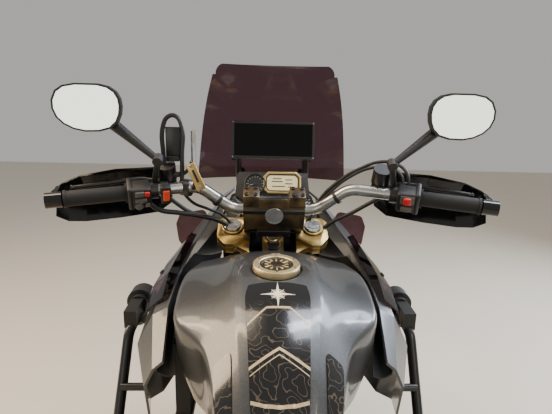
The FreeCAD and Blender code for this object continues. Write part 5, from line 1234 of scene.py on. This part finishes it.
# reflectors behind the headlamps' glass, and the fog lamps' diodes and clamps
lampPlan = {"lamps": [(0.058, 0.985, 0.018), (0.040, 0.948, 0.020)],   # x, z, depth behind the glass
            "bowl": [(0.0185, 0.012), (0.0160, 0.002), (0.0110, -0.006), (0.0050, -0.009)],
            "bulb": [(0.0040, -0.008), (0.0046, 0.000), (0.0030, 0.004), (0.0008, 0.005)],
            "bezel": [(0.0205, 0.006), (0.0205, 0.013), (0.0188, 0.013), (0.0188, 0.006)],
            "fog": (0.345, 0.4562, 0.838),
            "diode": [(0.0100, -0.011), (0.0100, -0.006), (0.0070, -0.0035), (0.0010, -0.003)],
            "clamp": [(0.0145, -0.011), (0.0185, -0.011), (0.0185, 0.011), (0.0145, 0.011)],
            "clampPlace": (0.343, 0.372, 0.813), "clampAlong": (-0.24, 0.86, -0.5)}


def makeLamps(plan):
    places = []
    for side in (-1, 1):
        for x, z, depth in plan["lamps"]:
            face = onNode("headlamps", (side * x, 1.4, z), (0, -1, 0), -depth)
            if face:
                places.append(rotated(Matrix.Translation(face.translation), -90, "X"))
    for name, profile, steps, finish in (("lamp_bowls", "bowl", 32, "chrome"),
                                         ("lamp_bulbs", "bulb", 20, "lamp_white"),
                                         ("lamp_bezels", "bezel", 32, "black_plastic")):
        if places:
            parts = [turned(plan[profile], steps, place, closed=profile != "bowl") for place in places]
            finishPiece(joinPieces(parts), name, finish, "chassis")
    diodes, clamps = [], []
    for side in (-1, 1):
        face = rotated(Matrix.Translation(sided(plan["fog"], side)), -90, "X")
        diodes.append(turned(plan["diode"], 28, face))
        tube = aim(sided(plan["clampPlace"], side), sided(plan["clampAlong"], side))
        clamps.append(turned(plan["clamp"], 28, tube))
    finishPiece(joinPieces(diodes), "fog_lamp_leds", "lamp_white", "chassis")
    finishPiece(joinPieces(clamps), "lamp_clamps", "black_plastic", "chassis")


materials["chrome"] = chromed("metallisedReflector")
materials["lamp_white"] = litPanel("ledPhosphor", "#f4f1e4")
makeFairingTrim(fairingPlan)
makeLamps(lampPlan)
print("stage: fairing trim and lamps")


# tyres: the frame's carcass with its crown lowered, and tread blocks up to the real radius
tyrePlan = {  # rows in millimetres: block's way from the middle, width, length and share of a pitch ahead
    "front_tyre": {"body": "front_wheel", "rows": [(10, 15, 19, 0), (31, 14, 21, 0.5), (46, 10, 17, 0)],
                   "count": 46, "depth": 0.006},
    "rear_tyre": {"body": "rear_wheel", "rows": [(13, 21, 24, 0), (41, 19, 26, 0.5), (63, 13, 20, 0)],
                  "count": 40, "depth": 0.007}}
treadPlan = {"turns": (18, -12, 8), "foot": 0.005, "sunk": 0.006, "taper": (0.88, 0.86), "edge": 0.0009,
             "shoulder": 0.030, "fade": 0.012}


def repeated(piece, places):
    # many copies of one small piece in one mesh
    source = piece.data
    corners, faces = [], []
    for place in places:
        first = len(corners)
        corners += [place @ vertex.co for vertex in source.vertices]
        faces += [[first + index for index in polygon.vertices] for polygon in source.polygons]
    mesh = bpy.data.meshes.new("blocks")
    mesh.from_pydata(corners, [], faces)
    many = bpy.data.objects.new("blocks", mesh)
    bpy.context.scene.collection.objects.link(many)
    bpy.data.objects.remove(piece)
    return pick(many)


def treadBlock(width, length, depth):
    # a block that narrows towards the road
    startPiece()
    bpy.ops.mesh.primitive_cube_add(size=1)
    block = bpy.context.object
    block.data.transform(Matrix.Diagonal((width / 1000, length / 1000, depth + treadPlan["foot"], 1)))
    for vertex in block.data.vertices:
        if vertex.co.z > 0:
            vertex.co.x *= treadPlan["taper"][0]
            vertex.co.y *= treadPlan["taper"][1]
    return bevelled(block, treadPlan["edge"], 1)


def makeTyre(name, plan):
    low, high = (Vector(corner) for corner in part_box(name))
    centre = (low + high) / 2
    reach = (high.z - low.z) / 2
    depth, count = plan["depth"], plan["count"]
    blocks = []
    for column, (x, width, length, shift) in enumerate(plan["rows"]):
        for side in (-1, 1):
            spot = onNode(name, (side * x / 1000, centre.y, centre.z + reach + 0.1), (0, 0, -1))
            block = treadBlock(width, length, depth)
            normal = spot.to_3x3() @ Vector((0, 0, 1))
            lean = math.degrees(math.atan2(normal.x, normal.z))
            local = rotated(Matrix.Translation(spot.translation - centre), lean, "Y")
            local = shifted(local, 0, 0, -(depth + treadPlan["sunk"]) / 2)
            local = rotated(local, side * treadPlan["turns"][column], "Z")
            start = shift + (0.5 if side > 0 else 0)
            ring = [rotated(Matrix.Translation(centre), 360 * (k + start) / count, "X") @ local
                    for k in range(count)]
            blocks.append(repeated(block, ring))
    carcass = frameCopy(name, merged=False)
    for vertex in carcass.data.vertices:
        radial = Vector((0, vertex.co.y - centre.y, vertex.co.z - centre.z))
        share = min(max((radial.length - (reach - treadPlan["shoulder"])) / treadPlan["fade"], 0), 1)
        share = share * share * (3 - 2 * share)
        vertex.co -= radial.normalized() * depth * share
    treaded = joinPieces([carcass] + blocks)
    finishPiece(treaded, name + "_treaded", "tyre_rubber", plan["body"], angle=30)
    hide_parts(name)


for tyreName, tyre in tyrePlan.items():
    makeTyre(tyreName, tyre)
print("stage: tyres")


# seats: foam under stretched vinyl, blown up a little by a short cloth run; seams in millimetres, x and y
seatPlan = {"voxel": 0.006, "pressure": 3.5, "frames": 20, "cap": 0.006, "shrink": 0.004, "base": 0.030,
            "pinned": 0.028, "underside": -0.6, "seam": 0.0011, "seamLift": 0.0002, "seamSteps": 9,
            "seams": {"rider_seat": [[(-150, -250), (-60, -262), (60, -262), (150, -250)],
                                     [(-96, -166), (-112, -300), (-130, -440)],
                                     [(96, -166), (112, -300), (130, -440)]],
                      "pillion_seat": [[(-118, -490), (-96, -620), (-70, -760)],
                                       [(118, -490), (96, -620), (70, -760)],
                                       [(-96, -560), (0, -566), (96, -560)],
                                       [(-84, -650), (0, -656), (84, -650)]]}}


def stretchCover(seat, plan, floor):
    # a short cloth run under pressure, whose swelling is then held to its cap
    start = [vertex.co.copy() for vertex in seat.data.vertices]
    held = [vertex.index for vertex in seat.data.vertices
            if vertex.co.z < floor + plan["pinned"] or vertex.normal.z < plan["underside"]]
    seat.vertex_groups.new(name="pins").add(held, 1.0, "REPLACE")
    cloth = seat.modifiers.new("cloth", "CLOTH")
    cloth.settings.quality = 5
    cloth.settings.use_pressure = True
    cloth.settings.uniform_pressure_force = plan["pressure"]
    cloth.settings.vertex_group_mass = "pins"
    cloth.settings.effector_weights.gravity = 0
    cloth.point_cache.frame_start = 1
    cloth.point_cache.frame_end = plan["frames"]
    for frameNumber in range(1, plan["frames"] + 1):
        bpy.context.scene.frame_set(frameNumber)
    applyAll(seat)
    bpy.context.scene.frame_set(1)
    for vertex, place in zip(seat.data.vertices, start):
        step = vertex.co - place
        if step.length > plan["cap"]:
            vertex.co = place + step * (plan["cap"] / step.length)


def seamLine(seat, seam, plan):
    # a thin thread that follows the cover along a broken line
    points, steps = [], plan["seamSteps"]
    for (ax, ay), (bx, by) in zip(seam, seam[1:]):
        for k in range(steps):
            x, y = ax + (bx - ax) * k / steps, ay + (by - ay) * k / steps
            hit, place, normal, _ = seat.ray_cast(Vector((x / 1000, y / 1000, 1.3)), Vector((0, 0, -1)))
            if hit:
                points.append(place + normal * plan["seamLift"])
    return hose(points[::2], plan["seam"]) if len(points) > 3 else None


def makeSeat(name, plan):
    low, high = (Vector(corner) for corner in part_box(name))
    seat = frameCopy(name)
    net = seat.modifiers.new("net", "REMESH")
    net.mode = "VOXEL"
    net.voxel_size = plan["voxel"]
    smooth = seat.modifiers.new("smooth", "SMOOTH")
    smooth.iterations = 3
    applyAll(seat)
    for vertex in seat.data.vertices:
        if vertex.co.z > low.z + plan["base"]:
            vertex.co -= vertex.normal * plan["shrink"]
    stretchCover(seat, plan, low.z)
    for vertex in seat.data.vertices:
        for axis in range(3):
            vertex.co[axis] = min(max(vertex.co[axis], low[axis]), high[axis])
    finer = seat.modifiers.new("finer", "SUBSURF")
    finer.levels = finer.render_levels = 1
    applyAll(seat)
    finishPiece(seat, name + "_cover", "seat_cover", "chassis", angle=60)
    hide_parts(name)
    threads = [seamLine(seat, seam, plan) for seam in plan["seams"][name]]
    seams = joinPieces([thread for thread in threads if thread])
    finishPiece(seams, name + "_seams", "thread", "chassis", angle=60)


materials["thread"] = rubber("bondedThread", "#2f2f31", 0.6)
for seatName in seatPlan["seams"]:
    makeSeat(seatName, seatPlan)
print("stage: seats")


# engine, wheels and tail: soft edges on what is cast or folded, and screws
castPieces = {"engine": 0.003, "engine_covers": 0.0035, "skid_plate": 0.0015, "front_calipers": 0.002,
              "rear_caliper": 0.002, "dashboard": 0.003, "bar_clamp": 0.0015, "final_drive": 0.002}
screwPlan = {"covers": [(0.235, 0.400, 0.085, 10), (0.090, 0.400, 0.078, 9)],   # y, z, radius, count
             "engine": [(0.14, 0.60), (0.20, 0.60), (0.26, 0.60), (0.31, 0.60), (0.15, 0.70), (0.30, 0.70),
                        (0.22, 0.72)],   # y, z
             "skidUnder": [(x, y) for x in (-0.08, 0.08) for y in (0.12, 0.25)],
             "skidSides": [(0.06, 0.30), (0.20, 0.30), (0.33, 0.30)], "discCount": 6, "discCircle": 0.066,
             "rack": [(x, y) for x in (-0.078, 0.078) for y in (-0.830, -0.990)]}


def fromSide(name, side, y, z, away=0.5):
    return onNode(name, (side * away, y, z), (-side, 0, 0))


def makeHardware(plan):
    for name, width in castPieces.items():
        softened(name, width)
    engineSpots, discSpots = [], []
    low, high = (Vector(corner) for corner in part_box("front_spoked_wheel"))
    hub = (low + high) / 2
    for side in (-1, 1):
        for y, z, radius, count in plan["covers"]:
            for angle in (2 * math.pi * k / count for k in range(count)):
                spot = fromSide("engine_covers", side, y + radius * math.cos(angle),
                                z + radius * math.sin(angle))
                if spot and abs((spot.to_3x3() @ Vector((0, 0, 1))).x) > 0.9:
                    engineSpots.append(spot)
        engineSpots += [fromSide("engine", side, y, z) for y, z in plan["engine"]]
        for angle in (math.radians(30 + 360 / plan["discCount"] * k) for k in range(plan["discCount"])):
            radius = plan["discCircle"]
            discSpots.append(fromSide("front_discs", side, hub.y + radius * math.cos(angle),
                                      hub.z + radius * math.sin(angle), 0.3))
    bolts("engine_screws", engineSpots, "disc_steel", "chassis")
    skidSpots = [onNode("skid_plate", (x, y, -0.2), (0, 0, 1)) for x, y in plan["skidUnder"]]
    skidSpots += [fromSide("skid_plate", side, y, z) for side in (-1, 1) for y, z in plan["skidSides"]]
    bolts("skid_bolts", skidSpots, "disc_steel", "chassis")
    if any(discSpots):
        bolts("front_disc_bolts", discSpots, "disc_steel", "front_wheel")
    rackSpots = [onNode("rear_rack", (x, y, 1.3), (0, 0, -1)) for x, y in plan["rack"]]
    bolts("rack_screws", rackSpots, "disc_steel", "chassis")


# foot-peg rubbers and the radiator's fins
pegPlan = {"pad": (0.074, 0.046, 0.007), "padPlace": (0.234, -0.147, 0.3518), "rib": (0.070, 0.003, 0.003),
           "ribs": 5, "ribStart": -0.165, "ribStep": 0.009, "ribHigh": 0.3562}
finPlan = {"fin": (0.094, 0.003, 0.0016), "count": 26, "across": 0.064, "start": 0.095, "step": 0.0048}


def makePegs(plan):
    pads = [roundedBox(plan["pad"], 0.002, sided(plan["padPlace"], side)) for side in (-1, 1)]
    for side in (-1, 1):
        for y in (plan["ribStart"] + plan["ribStep"] * k for k in range(plan["ribs"])):
            pads.append(roundedBox(plan["rib"], 0.0008, (side * plan["padPlace"][0], y, plan["ribHigh"])))
    finishPiece(joinPieces(pads), "peg_rubbers", "grip_rubber", "chassis")


def makeFins(plan):
    low = Vector(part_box("radiator")[0])
    x = low.x + plan["across"]
    fins = []
    for z in (low.z + plan["start"] + plan["step"] * k for k in range(plan["count"])):
        spot = onNode("radiator", (x, 0.9, z), (0, -1, 0))
        if spot:
            fins.append(roundedBox(plan["fin"], 0.0004, (x, spot.translation.y + 0.0008, z)))
    if fins:
        finishPiece(joinPieces(fins), "radiator_fins", "plate_aluminium", "chassis")


makeHardware(screwPlan)
makePegs(pegPlan)
makeFins(finPlan)
print("stage: hardware")
